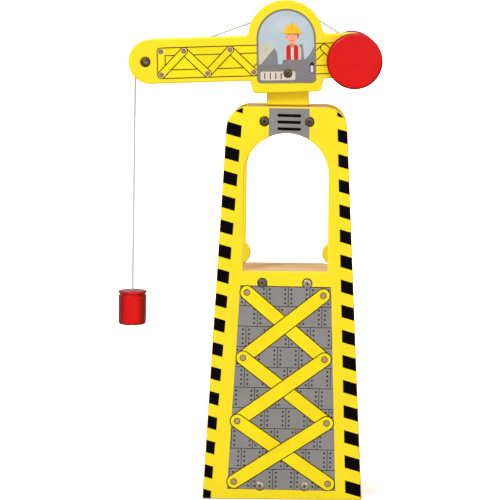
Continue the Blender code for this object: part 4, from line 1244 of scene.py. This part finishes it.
def hoist_block(red, magnet, rope):
    low, high = millimetre_box("hoist_block")
    top = high.z - low.z
    radius = (high.x - low.x) / 2
    hole, well, well_top = BLOCK_HOLE_RADIUS, MAGNET_WELL_RADIUS, MAGNET_WELL_DEPTH
    profile = [(hole, top - 0.4), (hole + 0.4, top)]
    profile += arc((radius - 0.8, top - 1.1), 1.1, 90, 0, 6)
    profile += arc((radius - 0.2, top - 1.7), 0.5, 0, -80, 5)
    profile += arc((radius + 0.1, top - 2.9), 1.15, 120, 240, 8)
    profile += arc((radius - 0.7, top - 4.5), 0.7, 60, 0, 4)
    foot = BLOCK_FOOT_ROUNDING
    profile += arc((radius - 0.2 - foot, foot), foot, 0, -90, 8)
    profile += [(well, 0.0), (well, well_top), (hole, well_top)]
    mesh = turned_mesh("hoist_block_turned", profile, axis="Z", sides=96)
    place = Matrix.Translation(((low.x + high.x) / 2 * MM, 0.0, low.z * MM))
    even_normals(piece("hoist_block_turned", mesh, red, "hoist", ["hoist_block"], "red_paint", place))
    low, high = millimetre_box("magnet")
    height, radius = high.z - low.z, (high.x - low.x) / 2
    profile = [(0.0, 0.0)] + round_side(radius, 0.0, height, 0.5, 4) + [(0.0, height)]
    mesh = turned_mesh("magnet_disc", profile, axis="Z", sides=64)
    place = Matrix.Translation(((low.x + high.x) / 2 * MM, 0.0, low.z * MM))
    piece("magnet_disc", mesh, magnet, "hoist", ["magnet"], "magnet", place)
    dress("rope_knot", rope)


def guide(wood):
    half = half_size("guide_roller")
    floor = GUIDE_ROPE_RADIUS - ROPE_RADIUS - 0.1
    groove = arc((floor + 1.3, 0.0), 1.3, 225, 135, 8)
    side = [(half.x - 0.3, half.y - 1.2), (half.x, half.y - 0.9), (half.x, half.y - 0.3)]
    side += [(half.x - 0.3, half.y), (3.1, half.y)]
    mesh = turned_mesh("guide_wheel", [(r, -y) for r, y in reversed(side)] + groove + side, sides=64)
    matrix = node_matrix("guide_roller")
    piece("guide_wheel", mesh, wood["Y"], "guide_wheel", ["guide_roller"], "bare_wood", matrix)
    half = half_size("guide_pin")
    mesh = turned_mesh("guide_dowel", rod_profile(half.x, half.y, 0.3), sides=40)
    piece("guide_dowel", mesh, wood["Y"], "jib", ["guide_pin"], "bare_wood", node_matrix("guide_pin"))


# --------------------------------------------------------------------------------------- studio and camera


def studio():
    """A pale floor that curves up behind the toy, soft light from all round, and the lamps."""
    bm = bmesh.new()
    profile = [(-6.0, 0.0), (2.0, 0.0)]
    for i in range(1, 13):
        angle = math.pi / 2 * i / 12
        profile.append((2.0 + 1.5 * math.sin(angle), 1.5 - 1.5 * math.cos(angle)))
    profile.append((3.5, 5.0))
    rows = [[bm.verts.new((x, y, z - 0.0002)) for x in (-6.0, 6.0)] for y, z in profile]
    for one, other in zip(rows, rows[1:]):
        bm.faces.new((one[0], one[1], other[1], other[0]))
    floor = piece("studio_floor", finish_mesh("studio_floor", bm), studio_white("studio_floor"), None)
    floor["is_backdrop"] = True
    world = bpy.data.worlds.new("studio")
    world.use_nodes = True
    tree = world.node_tree
    background = tree.nodes["Background"]
    direction = add(tree, "ShaderNodeTexCoord").outputs["Generated"]
    sideways = add(tree, "ShaderNodeSeparateXYZ", {"Vector": direction}).outputs["X"]
    from_side = add(tree, "ShaderNodeMath", {0: sideways}, operation="ABSOLUTE").outputs["Value"]
    soft = fit(tree, from_side, 0.2, 0.8, WORLD_STRENGTH, SIDE_STRENGTH)
    by_camera = add(tree, "ShaderNodeLightPath").outputs["Is Camera Ray"]
    tree.links.new(fit(tree, by_camera, 0.0, 1.0, soft, 1.0), background.inputs["Strength"])
    background.inputs["Color"].default_value = (1.0, 1.0, 1.0, 1.0)
    bpy.context.scene.world = world
    for name, place, aim, size, power in LAMPS:
        light = bpy.data.lights.new(name, "AREA")
        light.shape = "DISK"
        light.size = size
        light.energy = power
        lamp = bpy.data.objects.new(name, light)
        lamp.location = place
        lamp.rotation_euler = (Vector(aim) - Vector(place)).to_track_quat("-Z", "Y").to_euler()
        bpy.context.scene.collection.objects.link(lamp)


def camera():
    """The photograph's view. The lens shift is driven, so that it holds only where the camera stands now."""
    yaw, pitch, roll = CAMERA_YAW, CAMERA_PITCH, CAMERA_ROLL
    ahead = Vector((math.sin(yaw) * math.cos(pitch), math.cos(yaw) * math.cos(pitch), math.sin(pitch)))
    level = Vector((math.cos(yaw), -math.sin(yaw), 0.0))
    above = level.cross(ahead)
    right = level * math.cos(roll) + above * math.sin(roll)
    up = above * math.cos(roll) - level * math.sin(roll)
    lens = bpy.data.cameras.new("camera")
    lens.sensor_width = 36.0
    lens.lens = CAMERA_LENS
    lens.clip_start, lens.clip_end = 0.05, 50.0
    viewer = bpy.data.objects.new("camera", lens)
    bpy.context.scene.collection.objects.link(viewer)
    viewer.matrix_world = Matrix.Translation(CAMERA_PLACE) @ Matrix((right, up, -ahead)).transposed().to_4x4()
    for prop, shift in zip(("shift_x", "shift_y"), CAMERA_SHIFT):
        driver = lens.driver_add(prop).driver
        driver.type = "SCRIPTED"
        place = driver.variables.new()
        place.name = "y"
        place.type = "TRANSFORMS"
        place.targets[0].id = viewer
        place.targets[0].transform_type = "LOC_Y"
        driver.expression = f"{shift} if abs(y - ({CAMERA_PLACE[1]})) < 0.0001 else 0.0"
    bpy.context.scene.camera = viewer


# --------------------------------------------------------------------------------------------------- main


def make_inks():
    colours = {
        "black": BLACK,
        "grey": STEEL_GREY,
        "dark": SEAM_DARK,
        "brown": OUTLINE_BROWN,
        "yellow": YELLOW,
        "pin": srgb(172, 150, 124),
        "halo": srgb(252, 236, 130),
        "truss_pin": srgb(158, 122, 86),
        "frame": srgb(138, 130, 110),
        "sky": srgb(186, 200, 206),
        "haze": srgb(192, 202, 212),
        "beige": srgb(204, 196, 176),
        "stone": srgb(130, 132, 134),
        "water": srgb(176, 204, 218),
        "console": srgb(128, 124, 126),
        "cream": srgb(219, 207, 192),
        "lever": srgb(222, 204, 212),
        "shirt": srgb(214, 190, 184),
        "vest": srgb(196, 40, 42),
        "skin": srgb(250, 168, 128),
        "skin_shade": srgb(222, 128, 92),
        "hair": srgb(120, 58, 34),
        "white": srgb(244, 240, 236),
        "lip": srgb(186, 84, 66),
        "hat": srgb(246, 196, 34),
        "hat_shade": srgb(222, 156, 20),
    }
    inks = {}
    for name, colour in colours.items():
        specular = MATT_INK_SPECULAR if name in MATT_INKS else INK_SPECULAR
        inks[name] = printed_ink(f"ink_{name}", colour, specular)
    return inks


def main():
    paint = painted_board("yellow_board", YELLOW, YELLOW_EDGE_SHADE)
    wood = {axis: bare_wood(f"bare_wood_{axis}", axis) for axis in "XY"}
    inks = make_inks()
    rope = cotton_rope("cotton_rope")
    # The last colour of each screw metal is painted light in its cross recess: painted shade on the bright screws,
    # a painted highlight on the dull and bronzed ones.
    bright = worn_metal("bright_steel", srgb(214, 198, 176), 0.36, srgb(52, 46, 42))
    dull = worn_metal("dull_steel", srgb(120, 112, 102), 0.42, srgb(232, 226, 218))
    bronze = worn_metal("bronzed_steel", srgb(112, 88, 64), 0.4, srgb(214, 188, 172))
    magnet = worn_metal("nickel", srgb(176, 176, 182), 0.25)
    # A darker, duller copy of the yellow paint for the shelf lugs: painted shade, for the shade they stand in
    # behind the front panel.
    shaded_lug_paint = painted_board("shaded_lug_paint", srgb(230, 212, 44), srgb(228, 210, 62))
    tower(paint, shaded_lug_paint, wood["X"], inks)
    # A brighter copy of the yellow paint for the neck: painted light, against the shade it stands in under the
    # cab.
    lit_neck_paint = painted_board("lit_neck_paint", srgb(255, 232, 4), srgb(252, 220, 10))
    jib(paint, lit_neck_paint, wood["Y"], inks)
    all_screws(bright, dull, bronze)
    winch(turned_lacquer("red_lacquer_knob", "Y"), wood, rope)
    guide(wood)
    ropes(rope)
    hoist_block(turned_lacquer("red_lacquer_block", "Z"), magnet, rope)
    zinc = worn_metal("zinc_steel", srgb(196, 194, 188), 0.34)
    for node in ("slewing_bolt", "slewing_bolt_washer"):
        dress(node, zinc)
    dress("thrust_washer", moulded_nylon("dark_nylon"))
    studio()
    camera()
    bpy.context.scene.view_settings.view_transform = "Standard"


main()
visual_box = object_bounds()
for label, corners in (("cad", cad_box), ("visual", visual_box)):
    list(corners[0])
    list(corners[1])
